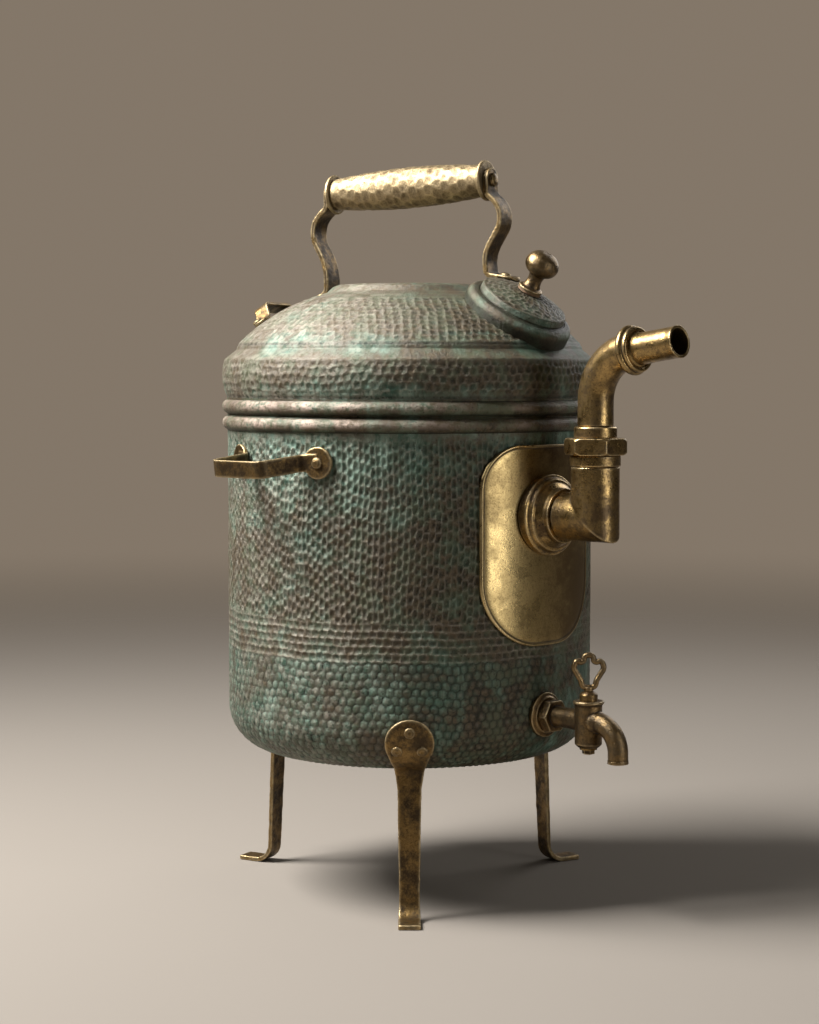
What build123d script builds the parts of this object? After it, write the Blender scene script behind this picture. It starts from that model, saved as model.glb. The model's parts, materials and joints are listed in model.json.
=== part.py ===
from build123d import *
import os
from math import asin, atan2, cos, degrees, hypot, radians, sin, sqrt

# Hammered copper beverage urn on three strap legs, with a lift-off cover,
# a bail with a turning barrel grip, a riveted pair of side handles,
# a swan neck on an elbow and a plug cock tap.
# The origin is the centre of the drum's flat underside, +Z is up and
# the tap points along -Y. A bearing is an angle in degrees from the tap,
# counter-clockwise seen from above. Everything is in millimetres.

# Clearances
film = 0.2            # solder or paint between two curved faces of one body
hole_play = 0.05      # a rivet's shank in its hole, or a thread's mean gap
running_gap = 0.08    # radial play of a turning or sliding fit
free_gap = 0.4        # air between faces that move past each other

# Drum
drum_radius = 145.0
sheet = 1.5           # thickness of the copper sheet
corner_radius = 36.0
drum_height = 266.0
bead_height = 11.0
bead_reach = 4.3      # how far a rolled bead stands out of the wall
bead_offset = 6.4     # each bead's middle from the drum's rim, down or up

# Cover, measured from the drum's wall and rim
skirt_depth = 16.0    # the part that drops into the drum
band_foot = (drum_radius + 0.2, drum_height + 14.0)
band_belly = (drum_radius + 4.2, drum_height + 30.0)
band_top = (drum_radius + 2.0, drum_height + 43.5)
step_edge = (drum_radius - 7.4, drum_height + 50.8)
dome_foot = (drum_radius - 8.2, drum_height + 55.0)
dome_curve = 146.0    # radius of the dome's section
dome_run = 70.8       # from the dome's foot in to the crown's
dome_rise = 41.0
crown_step = 7.0
crown_rise = 6.0

# Legs
leg_bearings = {"leg_front": -45.0, "leg_right": 75.0, "leg_rear": -165.0}
leg_sheet = 3.5
floor_height = -111.0
leg_plate_radius = 18.6
leg_plate_height = 24.5
leg_neck_half = 11.5
leg_neck_height = 3.0
leg_mid_half = 9.0
leg_mid_height = -12.0
leg_toe_half = 7.7
leg_toe_taper = 14.0  # height over the floor where the toe starts to spread
leg_toe_spread = 1.0
leg_wrap = 50.0       # how far the leg follows the drum's corner, degrees
leg_plan_wrap = 9.0   # half the angle that its curved blank takes in plan
leg_slant = 9.0       # straight run under the drum's corner
leg_knee_bend = 9.0
leg_ankle_bend = 14.0
ankle_reach = drum_radius - 13.5
toe_reach = drum_radius + 16.0
leg_rivet_spots = ((0.0, 33.5), (-9.4, 20.6), (9.4, 20.6))

# Rivets
rivet_radius = 2.2
rivet_head_radius = 4.4
rivet_head_height = 2.0

# Side handles
handle_bearings = {"side_handle_left": -90.0, "side_handle_right": 90.0}
handle_height = drum_height - 34.0
handle_eye_angle = 17.4
handle_eye_radius = 12.0
handle_strap_height = 13.0
handle_sheet = 2.8
handle_stand = 39.5   # from the wall out to the grip's outer face
handle_grip_half = 27.0
handle_droop = 4.8    # how much lower the grip hangs than the eyes
handle_knee = 15.0    # length of the part that runs along the wall
handle_eye_bend = 6.0
handle_grip_bend = 9.0

# Rear loop, an arch of strap that stands square on the dome
loop_bearing = -155.0
loop_reach = drum_radius - 33.0
loop_sheet = 2.4
loop_width = 12.5
loop_rise = 11.5      # of the strap's middle line over the dome
loop_half = 25.0      # half the arch's flat top
loop_knee = 33.0
loop_rivet_reach = 41.0
loop_end = 47.5
loop_top_bend = 8.0
loop_knee_bend = 5.0

# Bail, its heights measured from the crown
bail_bearing = 15.0
bail_width = 19.0
bail_sheet = 4.0
bail_left_rise = 74.0
bail_right_rise = 80.0
bail_shoulder_drop = 11.0   # these five run down the strap from the rod
bail_belly_reach = 18.5
bail_belly_drop = 25.5
bail_left_waist = 60.5
bail_right_waist = 57.0
bail_left_bends = (6.0, 20.0, 45.0, 7.0)
bail_right_bends = (6.0, 19.0, 26.0, 5.5)
bail_waist_reach = 1.5
bail_heel_reach = 0.5
bail_left_toe = drum_radius - 43.0
bail_left_sink = 0.6        # the toe starts this deep and is cut to the dome
bail_left_rivet = 89.0
bail_right_toe = drum_radius - 47.5
bail_right_rivet = 86.0
bail_right_heel_rise = 13.9 # over the middle of the boss's top
bail_right_toe_rise = 9.9
bail_stud_depth = 9.0       # the right foot is pinned into the solid boss
rod_radius = 4.0
rod_head_radius = 5.6
rod_head_height = 3.0
grip_length = 141.0
grip_end_radius = 12.2
grip_mid_radius = 16.3
grip_sheet = 2.0
grip_flange_radius = 15.8
grip_flange_sheet = 3.2
grip_spigot = 6.0

# Filler boss and its stopper
boss_bearing = 6.5
boss_reach = drum_radius - 38.0
boss_radius = 43.5
boss_height = 18.0
boss_root = 14.0            # how far its form runs down into the dome
boss_groove_radius = 35.3
boss_groove_height = 5.8
boss_wall_height = 10.2
boss_seat_radius = 11.0
stopper_radius = 7.0
stopper_tail = 8.0
stopper_ring_radius = 9.6
stopper_stem_radius = 5.6
knob_radius = 13.2
knob_height = 17.8
knob_crown = 1.5            # the small flat on top of the ball
stopper_height = 33.1
washer_sheet = 1.5

# Inlet plate, flange and elbow
inlet_height = 192.0
plate_sheet = 2.5
plate_half = 60.0
plate_below = 99.0          # from the inlet's axis down to the plate's edge
plate_above = 53.0
plate_top_corner = 33.0
plate_bottom_corner = 50.0
flange_radius = 30.6
flange_step_radius = 27.0
hub_radius = 20.6
hub_stand = 20.0
inlet_tail_radius = 13.2
inlet_bore_radius = 10.5
elbow_radius = 18.0
elbow_bore_radius = 12.0
elbow_run = 28.8            # from the hub's face out to the upright axis
elbow_rise = 37.7
spigot_radius = 15.0
spigot_depth = 8.0
collar_radius = 18.7
collar_height = 8.6

# Union and swan neck
nut_flats = 41.0
nut_height = 12.5
nut_lip = 2.2
union_spigot = 6.6          # how far the elbow reaches into the nut
tail_radius = 13.0
tail_bore_radius = 10.8
tail_collar_radius = 14.4
ferrule_radius = 15.9
ferrule_height = 8.0
neck_radius = 13.3
neck_wall = 2.2
neck_rise = 48.3            # from the elbow's top to the start of the bend
neck_bend_radius = 37.0
neck_bend_angle = 82.0
ring_radius = 18.4
ring_width = 9.0
outlet_root_radius = 11.6
outlet_mouth_radius = 11.4
outlet_bore_radius = 9.8
outlet_length = 46.0
outlet_flare = 0.5

# Tap
tap_height = 40.0
tap_rosette_radius = 17.0
tap_rosette_sheet = 3.0
tap_flats = 23.0
tap_hex_length = 8.0
tap_tail_radius = 8.0
tap_bore_radius = 4.6
shank_radius = 7.8
barrel_stand = 43.5         # from the wall out to the barrel's axis
barrel_radius = 10.2
barrel_drop = 19.6          # below the tap's axis
barrel_rise = 15.4
barrel_rim_radius = 11.6
barrel_rim_height = 3.0
spout_root_radius = 9.2
spout_radius = 7.6
spout_lip_radius = 7.9
spout_run = 28.5            # from the barrel's axis out to the spout's
spout_drop = 28.7
spout_bend_radius = 21.0
plug_top_radius = 7.2
plug_foot_radius = 5.8
plug_port_radius = 4.0
plug_cap_radius = 6.8
plug_cap_height = 7.0
plug_tail_radius = 2.6
plug_tail_length = 5.4
plug_nut_flats = 8.4
plug_nut_height = 3.4
plug_washer_sheet = 1.2
key_bearing = -45.0
key_bar_radius = 2.2
key_half = 11.6             # half the key's width on its bar's middle line
key_rise = 24.2             # the same line's height over its foot

# Back nuts and gaskets inside the drum
backnut_sheet = 8.0
gasket_sheet = 3.0
inlet_gasket_radius = 22.0
inlet_nut_flats = 38.0
tap_gasket_radius = 13.5
tap_nut_flats = 24.0

cut_margin = 20.0           # how far a cutter runs past the faces it cuts

inner_radius = drum_radius - sheet
corner_centre = (drum_radius - corner_radius, corner_radius)
seat_height = drum_height + free_gap
crown_foot = (dome_foot[0] - dome_run, dome_foot[1] + dome_rise)
crown_radius = crown_foot[0] - crown_step
crown_height = crown_foot[1] + crown_rise
handle_reach = drum_radius + handle_stand
hub_face = drum_radius + hub_stand
elbow_reach = hub_face + elbow_run
elbow_top = inlet_height + elbow_rise
neck_bend_start = elbow_top + neck_rise
barrel_reach = drum_radius + barrel_stand
barrel_bottom = tap_height - barrel_drop
barrel_top = tap_height + barrel_rise
spout_reach = barrel_reach + spout_run
spout_bottom = tap_height - spout_drop
bail_left_rod = crown_height + bail_left_rise
bail_right_rod = crown_height + bail_right_rise


def at(radius, height):
    """A point of an upright section, on the +X side."""
    return (radius, 0, height)


def side(reach, height):
    """A point of an upright section in front, towards -Y."""
    return (0, -reach, height)


def spun(*lines):
    """The solid that a closed outline sweeps round the Z axis."""
    return revolve(make_face([edge for line in lines for edge in line.edges()]), Axis.Z)


def spun_corners(*corners):
    """The same, from an outline of straight runs."""
    return spun(Polyline(*[at(r, z) for r, z in corners], close=True))


def disc(radius, low, high, bore=0.0):
    """A round plate, tube or washer about the Z axis."""
    plate = Pos(0, 0, low) * extrude(Circle(radius), high - low)
    if bore > 0:
        plate -= Pos(0, 0, low) * extrude(Circle(bore), high - low)
    return plate


def hexagon(flats, low, high, bore, chamfer_size):
    """A hexagonal nut about the Z axis with turned corners."""
    blank = Pos(0, 0, low) * extrude(RegularPolygon(flats / 2, 6, major_radius=False), high - low)
    corner = flats / 2 / cos(radians(30))
    turned = chamfer(disc(corner, low, high).edges().filter_by(GeomType.CIRCLE), chamfer_size)
    return (blank & turned) - disc(bore, low, high)


def in_front(height):
    """Where a piece turned about Z points straight out of the wall."""
    return Pos(0, 0, height) * Rot(90, 0, 0)


def drum_blank(offset, top=drum_height):
    """The drum as a filled form, grown by an offset."""
    radius = drum_radius + offset
    curve = corner_radius + offset
    low, turn = -offset, corner_centre[1]
    heel = curve * sqrt(0.5)
    return spun(
        Line(at(0, low), at(corner_centre[0], low)),
        ThreePointArc(
            at(corner_centre[0], low),
            at(corner_centre[0] + heel, turn - heel),
            at(radius, turn),
        ),
        Polyline(at(radius, turn), at(radius, top), at(0, top), at(0, low)),
    )


def dome_centre():
    """The centre of the dome's arc in its section."""
    (r0, z0), (r1, z1) = dome_foot, crown_foot
    half = hypot(r1 - r0, z1 - z0) / 2
    away = sqrt(dome_curve**2 - half**2)
    run, rise = (r1 - r0) / (2 * half), (z1 - z0) / (2 * half)
    return ((r0 + r1) / 2 - away * rise, (z0 + z1) / 2 + away * run)


def dome_height(radius):
    """Height of the dome's outer face at a radius."""
    r, z = dome_centre()
    return z + sqrt(dome_curve**2 - (radius - r) ** 2)


def dome_slope(radius):
    """Slope of the dome's outer face at a radius, in degrees."""
    return degrees(asin((radius - dome_centre()[0]) / dome_curve))


def dome_point(radius, offset):
    """A point square above the dome's face, by an offset."""
    r, z = dome_centre()
    run, rise = radius - r, dome_height(radius) - z
    grow = 1 + offset / dome_curve
    return (r + run * grow, z + rise * grow)


def dome_blank(offset):
    """The dome as a filled form, grown by an offset."""
    foot = dome_point(dome_foot[0], offset)
    head = dome_point(crown_foot[0], offset)
    middle = dome_point((dome_foot[0] + crown_foot[0]) / 2, offset)
    return spun(
        ThreePointArc(at(*foot), at(*middle), at(*head)),
        Polyline(at(*head), at(0, head[1]), at(0, band_foot[1]), at(foot[0], band_foot[1]), at(*foot)),
    )


def on_dome(bearing, reach):
    """Where a piece turned about Z stands square on the dome."""
    seat = Pos(0, -reach, dome_height(reach)) * Rot(dome_slope(reach), 0, 0)
    return Rot(0, 0, bearing) * seat


def on_corner(bearing, across, height):
    """Where a piece turned about Z points out of the drum's corner."""
    dip = degrees(asin((corner_centre[1] - height) / corner_radius))
    turn = degrees(asin(across / drum_radius))
    return Rot(0, 0, bearing + turn) * Pos(0, -corner_centre[0], corner_centre[1]) * Rot(90 + dip, 0, 0)


def domed_head(radius, height, face, way):
    """A low round head on a face, rising along Z when way is 1."""
    return spun_corners(
        (0, face),
        (radius, face),
        (radius * 0.84, face + way * height * 0.65),
        (radius * 0.4, face + way * height),
        (0, face + way * height),
    )


def rivet(inside, outside, hollow):
    """A closed rivet about Z between two heights, its tail clear of a hollow face."""
    seat = inside - hollow + sqrt(hollow**2 - rivet_head_radius**2)
    tail = disc(rivet_head_radius, seat - rivet_head_height * 0.6, seat)
    shank = disc(rivet_radius, seat - 1, outside + 1)
    return shank + tail + domed_head(rivet_head_radius, rivet_head_height, outside, 1)


def rivet_hole(places):
    """The holes for a row of rivets, given as places and heights there."""
    hole = rivet_radius + hole_play
    return [place * disc(hole, height - cut_margin, height + cut_margin) for place, height in places]


def strip(points, radii, thickness):
    """The side view of a bent strap, in the upright section in front."""
    upright = Plane(origin=(0, 0, 0), x_dir=(0, -1, 0), z_dir=(-1, 0, 0))
    return upright * trace(FilletPolyline(*points, radius=radii), thickness)


# Drum

def leg_rivet_places():
    """Each leg rivet's place and its middle height along its own axis."""
    return [
        (on_corner(bearing, across, height), corner_radius)
        for bearing in leg_bearings.values()
        for across, height in leg_rivet_spots
    ]


def handle_rivet_places():
    """Each side handle rivet's place, pointing out of the wall."""
    return [
        (Rot(0, 0, bearing + turn) * in_front(handle_height), drum_radius)
        for bearing in handle_bearings.values()
        for turn in (-handle_eye_angle, handle_eye_angle)
    ]


def drum_shell():
    hollow = drum_blank(-sheet, drum_height + sheet)
    shell = drum_blank(0) - hollow
    wall = drum_radius - corner_radius / 2
    shell -= in_front(inlet_height) * disc(inlet_tail_radius + hole_play, wall, drum_radius + sheet)
    shell -= in_front(tap_height) * disc(tap_tail_radius + hole_play, wall, drum_radius + sheet)
    return shell - rivet_hole(leg_rivet_places() + handle_rivet_places())


def rolled_bead(height):
    """A half-round bead that wraps the wall."""
    root = drum_radius + film
    return spun(
        Line(at(root, height - bead_height / 2), at(root, height + bead_height / 2)),
        ThreePointArc(
            at(root, height + bead_height / 2),
            at(drum_radius + bead_reach, height),
            at(root, height - bead_height / 2),
        ),
    )


def leg_outline():
    """A leg seen from outside: a round plate that runs down to a tapering strap."""
    disc_face = Pos(0, leg_plate_height) * Circle(leg_plate_radius)
    half = (
        (leg_plate_radius * 0.86, leg_plate_height - leg_plate_radius * 0.51),
        (leg_neck_half, leg_neck_height),
        (leg_mid_half, leg_mid_height),
        (leg_toe_half, floor_height + leg_toe_taper),
        (leg_toe_half + leg_toe_spread, floor_height - leg_sheet),
    )
    mirrored = [(-x, z) for x, z in reversed(half)]
    face = disc_face + make_face(Polyline(*half, *mirrored, close=True))
    return Plane.XZ * face


def leg(bearing):
    """A strap leg that hugs the drum's corner and ends in a flat toe."""
    middle = drum_radius + film + leg_sheet / 2
    bend = corner_radius + film + leg_sheet / 2
    run = bend * sin(radians(leg_wrap)) / (1 + cos(radians(leg_wrap)))
    knee = corner_centre[1] - run
    slant = run + leg_slant
    hip = (middle - slant * sin(radians(leg_wrap)), knee - slant * cos(radians(leg_wrap)))
    sole = floor_height + leg_sheet / 2
    path = (
        (middle, leg_plate_height + leg_plate_radius + leg_sheet),
        (middle, knee),
        hip,
        (ankle_reach, sole),
        (toe_reach, sole),
    )
    bent = strip(path, [bend, leg_knee_bend, leg_ankle_bend], leg_sheet)
    curved = Rot(0, 0, -leg_plan_wrap) * revolve(bent, Axis.Z, 2 * leg_plan_wrap)
    shape = curved & extrude(leg_outline(), amount=drum_radius * 1.5)
    return Rot(0, 0, bearing) * shape


def leg_rivets():
    outer = corner_radius + film + leg_sheet
    hollow = corner_radius - sheet
    return [place * rivet(hollow, outer, hollow) for place, _ in leg_rivet_places()]


def side_handle(bearing):
    """A flat strap handle: two riveted eyes and a bowed grip that droops."""
    wall = drum_radius + film
    middle = wall + handle_sheet / 2
    angle = radians(handle_eye_angle)
    eye_x, eye_y = middle * sin(angle), -middle * cos(angle)
    knee_x, knee_y = eye_x - handle_knee * cos(angle), eye_y - handle_knee * sin(angle)
    low = handle_height - handle_strap_height / 2
    points = (
        (eye_x, eye_y, low),
        (knee_x, knee_y, low),
        (handle_grip_half, -handle_reach + handle_sheet / 2, low),
        (-handle_grip_half, -handle_reach + handle_sheet / 2, low),
        (-knee_x, knee_y, low),
        (-eye_x, eye_y, low),
    )
    bends = [handle_eye_bend, handle_grip_bend, handle_grip_bend, handle_eye_bend]
    plan = trace(FilletPolyline(*points, radius=bends), handle_sheet)
    bow = extrude(plan, handle_strap_height, dir=(0, 0, 1))
    tilt = Rot(degrees(atan2(handle_droop, handle_reach + eye_y)), 0, 0)
    bow = Pos(0, eye_y, handle_height) * tilt * Pos(0, -eye_y, -handle_height) * bow
    shape = bow - disc(wall, low - cut_margin, low + handle_strap_height + cut_margin)
    skin = disc(wall + handle_sheet, handle_height - cut_margin, handle_height + cut_margin, wall)
    eye = in_front(handle_height) * disc(handle_eye_radius, drum_radius - cut_margin, drum_radius + cut_margin)
    outer = wall + handle_sheet
    seat = in_front(handle_height) * disc(rivet_head_radius + hole_play, outer, outer + cut_margin)
    for turn in (-handle_eye_angle, handle_eye_angle):
        shape += skin & (Rot(0, 0, turn) * eye)
        shape -= Rot(0, 0, turn) * seat
    return (Rot(0, 0, bearing) * shape) - rivet_hole(handle_rivet_places())


def side_handle_rivets():
    outer = drum_radius + film + handle_sheet + film
    return [place * rivet(inner_radius, outer, inner_radius) for place, _ in handle_rivet_places()]


# Inlet

def plate_face():
    """Radius of the inlet plate's outer face, with its film."""
    return drum_radius + film + plate_sheet + film


def inlet_plate():
    """A brass plate wrapped on the wall round the inlet."""
    bottom, top = inlet_height - plate_below, inlet_height + plate_above
    corners = ((-plate_half, bottom), (plate_half, bottom), (plate_half, top), (-plate_half, top))
    outline = make_face(Polyline(*corners, close=True))
    low = outline.vertices().group_by(Axis.Y)[0]
    outline = fillet(low, plate_bottom_corner)
    high = outline.vertices().group_by(Axis.Y)[-1]
    outline = fillet(high, plate_top_corner)
    blank = disc(drum_radius + film + plate_sheet, bottom, top, drum_radius + film)
    plate = blank & extrude(Plane.XZ * outline, amount=drum_radius * 1.5)
    hole = disc(inlet_tail_radius + hole_play, drum_radius - cut_margin, drum_radius + cut_margin)
    return plate - in_front(inlet_height) * hole


def inlet_flange():
    """A stepped round flange with a hub and a tail through the wall."""
    face = plate_face()
    back = inner_radius - film - gasket_sheet - backnut_sheet
    body = spun_corners(
        (0, face - 6),
        (flange_radius, face - 6),
        (flange_radius, face + 4.0),
        (flange_step_radius + 1.2, face + 4.8),
        (flange_step_radius, face + 7.6),
        (flange_step_radius - 2.5, face + 8.2),
        (hub_radius + 0.8, hub_face - 5.2),
        (hub_radius, hub_face - 4.0),
        (hub_radius, hub_face),
        (0, hub_face),
    )
    reach = flange_radius + cut_margin
    flange = in_front(inlet_height) * body - disc(face, inlet_height - reach, inlet_height + reach)
    tail = disc(inlet_tail_radius, back, hub_face - spigot_depth)
    flange += in_front(inlet_height) * tail
    bore = disc(inlet_bore_radius, back, hub_face)
    bore += disc(spigot_radius + hole_play, hub_face - spigot_depth, hub_face)
    return flange - in_front(inlet_height) * bore


def wall_gasket(height, radius, bore):
    """A soft washer that fills the curve between the wall and a flat nut."""
    flat = inner_radius - film - gasket_sheet
    ring = in_front(height) * disc(radius, flat, drum_radius, bore + hole_play)
    return ring & drum_blank(-sheet - film)


def backnut(height, flats, bore):
    """A hexagon nut on a tail, inside the drum."""
    flat = inner_radius - film - gasket_sheet
    return in_front(height) * hexagon(flats, flat - backnut_sheet + 1.0, flat, bore + hole_play, 1.0)


def elbow_path(start, finish):
    return Polyline(side(start, inlet_height), side(elbow_reach, inlet_height), side(elbow_reach, finish))


def mitred_pipe(radius, start, finish):
    """A round bar with one mitred corner, from the hub up to a height."""
    section = Plane(origin=side(start, inlet_height), z_dir=(0, -1, 0)) * Circle(radius)
    return sweep(section, path=elbow_path(start, finish), transition=Transition.RIGHT)


def union_seat():
    """Height of the elbow's top face, inside the union nut."""
    return elbow_top + collar_height + union_spigot


def elbow():
    """A mitred elbow with a spigot at each end."""
    pipe = mitred_pipe(elbow_radius, hub_face + film, elbow_top)
    place = Pos(0, -elbow_reach, 0)
    pipe += in_front(inlet_height) * disc(spigot_radius, hub_face - spigot_depth + film, hub_face + 3)
    pipe += place * disc(spigot_radius, elbow_top - 3, union_seat())
    return pipe - mitred_pipe(elbow_bore_radius, hub_face - spigot_depth, union_seat() + 1)


def elbow_collar():
    """A turned collar that caps the elbow under the union nut."""
    low, high = elbow_top + film, elbow_top + collar_height - film
    ring = disc(collar_radius, low, high, spigot_radius + hole_play)
    ring = chamfer(ring.edges().filter_by(GeomType.CIRCLE).group_by(SortBy.RADIUS)[-1], 0.7)
    return Pos(0, -elbow_reach, 0) * ring


def nut_low():
    return elbow_top + collar_height


def union_nut():
    """A hexagon nut whose lip holds the swan neck's tail."""
    low = nut_low()
    high = low + nut_height
    nut = hexagon(nut_flats, low, high, tail_radius + running_gap, 2.0)
    nut -= disc(spigot_radius + hole_play, low, high - nut_lip)
    return Pos(0, -elbow_reach, 0) * nut


def union_washer():
    low = union_seat()
    ring = disc(spigot_radius - 0.4, low, low + washer_sheet, elbow_bore_radius)
    return Pos(0, -elbow_reach, 0) * ring


def union_tail():
    """The neck's collared tail, held down by the nut's lip."""
    lip = nut_low() + nut_height
    low = union_seat() + washer_sheet + free_gap
    tail = disc(tail_radius, low, lip + free_gap + ferrule_height - 1)
    tail += disc(tail_collar_radius, low, lip - nut_lip - free_gap)
    return Pos(0, -elbow_reach, 0) * (tail - disc(tail_bore_radius, low, lip + 20))


def neck_ferrule():
    """The sleeve that joins the tail and the swan neck above the nut."""
    low = nut_low() + nut_height + free_gap
    high = low + ferrule_height
    sleeve = disc(ferrule_radius, low, high)
    sleeve = chamfer(sleeve.edges().group_by(Axis.Z)[-1], 0.8)
    sleeve -= disc(tail_radius + hole_play, low, high - 1)
    sleeve -= disc(tail_bore_radius, high - 2, high)
    return Pos(0, -elbow_reach, 0) * sleeve


def neck_end():
    """The end of the neck's bend and the outlet's direction there."""
    angle = radians(neck_bend_angle)
    reach = elbow_reach + neck_bend_radius * (1 - cos(angle))
    height = neck_bend_start + neck_bend_radius * sin(angle)
    return reach, height, 90.0 - neck_bend_angle


def on_outlet(along):
    """Where a piece turned about Z lies on the outlet's axis."""
    reach, height, rise = neck_end()
    return Pos(0, -reach, height) * Rot(90 - rise, 0, 0) * Pos(0, 0, along)


def swan_neck():
    """The bent pipe above the ferrule."""
    low = nut_low() + nut_height + free_gap + ferrule_height + film
    half = radians(neck_bend_angle / 2)
    middle = side(
        elbow_reach + neck_bend_radius * (1 - cos(half)),
        neck_bend_start + neck_bend_radius * sin(half),
    )
    reach, height, rise = neck_end()
    over = ring_width / 2
    tip = side(reach + over * cos(radians(rise)), height + over * sin(radians(rise)))
    path = Line(side(elbow_reach, low), side(elbow_reach, neck_bend_start))
    path += ThreePointArc(side(elbow_reach, neck_bend_start), middle, side(reach, height))
    path += Line(side(reach, height), tip)
    start = Plane(origin=side(elbow_reach, low), z_dir=(0, 0, 1))
    section = start * (Circle(neck_radius) - Circle(neck_radius - neck_wall))
    return sweep(section, path=path)


def neck_ring():
    """A double bead over the joint of the neck and its outlet."""
    half = ring_width / 2
    bore = neck_radius + film
    second = ring_radius - 1.6
    ring = spun(
        Line(at(bore, -half), at(bore, half)),
        Line(at(bore, half), at(second - 1.2, half)),
        ThreePointArc(at(second - 1.2, half), at(second, half - 1.7), at(second - 1.4, 0.9)),
        ThreePointArc(at(second - 1.4, 0.9), at(ring_radius, -half / 2), at(second - 0.6, -half)),
        Line(at(second - 0.6, -half), at(bore, -half)),
    )
    return on_outlet(ring_width / 2 + film) * ring


def neck_outlet():
    """The open outlet pipe, tapering a little to its flared mouth."""
    low = ring_width / 2 + film
    pipe = spun_corners(
        (outlet_bore_radius, low),
        (neck_radius, low),
        (neck_radius, ring_width - 0.6),
        (outlet_root_radius, ring_width + 1.0),
        (outlet_mouth_radius, outlet_length - 5.0),
        (outlet_mouth_radius + outlet_flare, outlet_length),
        (outlet_bore_radius, outlet_length),
    )
    return on_outlet(0) * pipe


# Tap

def tap_rosette():
    """The thin round flange between the wall and the tap's hexagon."""
    face = drum_radius + film
    plate = spun_corners(
        (tap_tail_radius + hole_play, face - 5),
        (tap_rosette_radius, face - 5),
        (tap_rosette_radius, face + tap_rosette_sheet * 0.6),
        (tap_rosette_radius - 2.2, face + tap_rosette_sheet * 0.8),
        (tap_rosette_radius - 3.6, face + tap_rosette_sheet + 0.8),
        (tap_tail_radius + hole_play, face + tap_rosette_sheet + 0.8),
    )
    return in_front(tap_height) * plate - drum_blank(film)


def plug_cone(gap):
    """The tapered plug, or its seat when a gap is given."""
    return spun_corners(
        (0, barrel_bottom),
        (plug_foot_radius + gap, barrel_bottom),
        (plug_top_radius + gap, barrel_top),
        (0, barrel_top),
    )


def spout_path():
    """From the barrel out and over, then straight down."""
    bend = spout_reach - spout_bend_radius
    turn = spout_bend_radius * (1 - sqrt(0.5))
    start = Line(side(barrel_reach, tap_height), side(bend, tap_height))
    corner = ThreePointArc(
        side(bend, tap_height),
        side(spout_reach - turn, tap_height - turn),
        side(spout_reach, tap_height - spout_bend_radius),
    )
    drop = Line(side(spout_reach, tap_height - spout_bend_radius), side(spout_reach, spout_bottom))
    return start + corner + drop


def spout_bar(radius):
    """A round bar along the spout's path."""
    section = Plane(origin=side(barrel_reach, tap_height), z_dir=(0, -1, 0)) * Circle(radius)
    return sweep(section, path=spout_path())


def tap_body():
    """Tail, hexagon, shank, barrel and spout in one casting, bored through."""
    hex_low = drum_radius + film + tap_rosette_sheet + 0.8 + film
    hex_high = hex_low + tap_hex_length
    back = inner_radius - film - gasket_sheet - backnut_sheet
    stem = disc(tap_tail_radius, back, hex_low)
    stem += hexagon(tap_flats, hex_low, hex_high, 1.0, 1.2)
    stem += spun_corners(
        (0, hex_low),
        (shank_radius, hex_low),
        (shank_radius, hex_high + 12),
        (spout_root_radius, barrel_reach),
        (spout_root_radius, barrel_reach + 7),
        (spout_radius, spout_reach - spout_bend_radius + 4),
        (0, spout_reach - spout_bend_radius + 4),
    )
    body = in_front(tap_height) * stem
    centre = Pos(0, -barrel_reach, 0)
    barrel = spun_corners(
        (0, barrel_bottom),
        (barrel_radius - 2.4, barrel_bottom),
        (barrel_radius, barrel_bottom + 2.4),
        (barrel_radius, barrel_top - barrel_rim_height),
        (barrel_rim_radius, barrel_top - barrel_rim_height + 1.0),
        (barrel_rim_radius, barrel_top - 0.8),
        (barrel_rim_radius - 0.8, barrel_top),
        (0, barrel_top),
    )
    body += centre * barrel
    body += spout_bar(spout_radius)
    lip = disc(spout_lip_radius, spout_bottom, spout_bottom + 3.0)
    body += Pos(0, -spout_reach, 0) * chamfer(lip.edges().group_by(Axis.Z)[-1], 0.6)
    body -= in_front(tap_height) * disc(tap_bore_radius, back, barrel_reach)
    body -= spout_bar(tap_bore_radius)
    return body - centre * plug_cone(running_gap)


def tap_plug():
    """The tapered plug with its port, cap and threaded tail."""
    cap_low = barrel_top
    plug = plug_cone(0)
    plug += disc(plug_tail_radius, barrel_bottom - plug_tail_length, barrel_bottom + 1)
    plug += spun(
        Line(at(0, cap_low - 1), at(plug_cap_radius, cap_low - 1)),
        Line(at(plug_cap_radius, cap_low - 1), at(plug_cap_radius, cap_low + plug_cap_height * 0.6)),
        ThreePointArc(
            at(plug_cap_radius, cap_low + plug_cap_height * 0.6),
            at(plug_cap_radius * 0.75, cap_low + plug_cap_height * 0.9),
            at(plug_cap_radius * 0.4, cap_low + plug_cap_height),
        ),
        Polyline(
            at(plug_cap_radius * 0.4, cap_low + plug_cap_height),
            at(0, cap_low + plug_cap_height),
            at(0, cap_low - 1),
        ),
    )
    across = disc(plug_port_radius, -barrel_radius, barrel_radius)
    port = Rot(0, 0, key_bearing) * Pos(0, 0, tap_height) * Rot(0, 90, 0) * across
    return Pos(0, -barrel_reach, 0) * (plug - port)


def key_side():
    """The middle line of one side of the key, from its foot to its top."""
    low = barrel_top + plug_cap_height + key_bar_radius + 0.6
    high = low + key_rise
    turns = (
        (key_half * 0.4, low, key_bar_radius * 1.6),
        (key_half * 0.5, low + key_rise * 0.22, key_bar_radius * 2.6),
        (key_half, low + key_rise * 0.6, key_bar_radius * 2.2),
        (key_half * 0.8, low + key_rise * 0.85, key_bar_radius * 1.05),
        (key_half * 0.31, low + key_rise * 0.727, key_bar_radius * 1.05),
        (key_half * 0.293, high, key_bar_radius * 1.27),
    )
    points = [(0, 0, low)] + [(x, 0, z) for x, z, r in turns] + [(0, 0, high)]
    return FilletPolyline(*points, radius=[r for x, z, r in turns])


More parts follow.
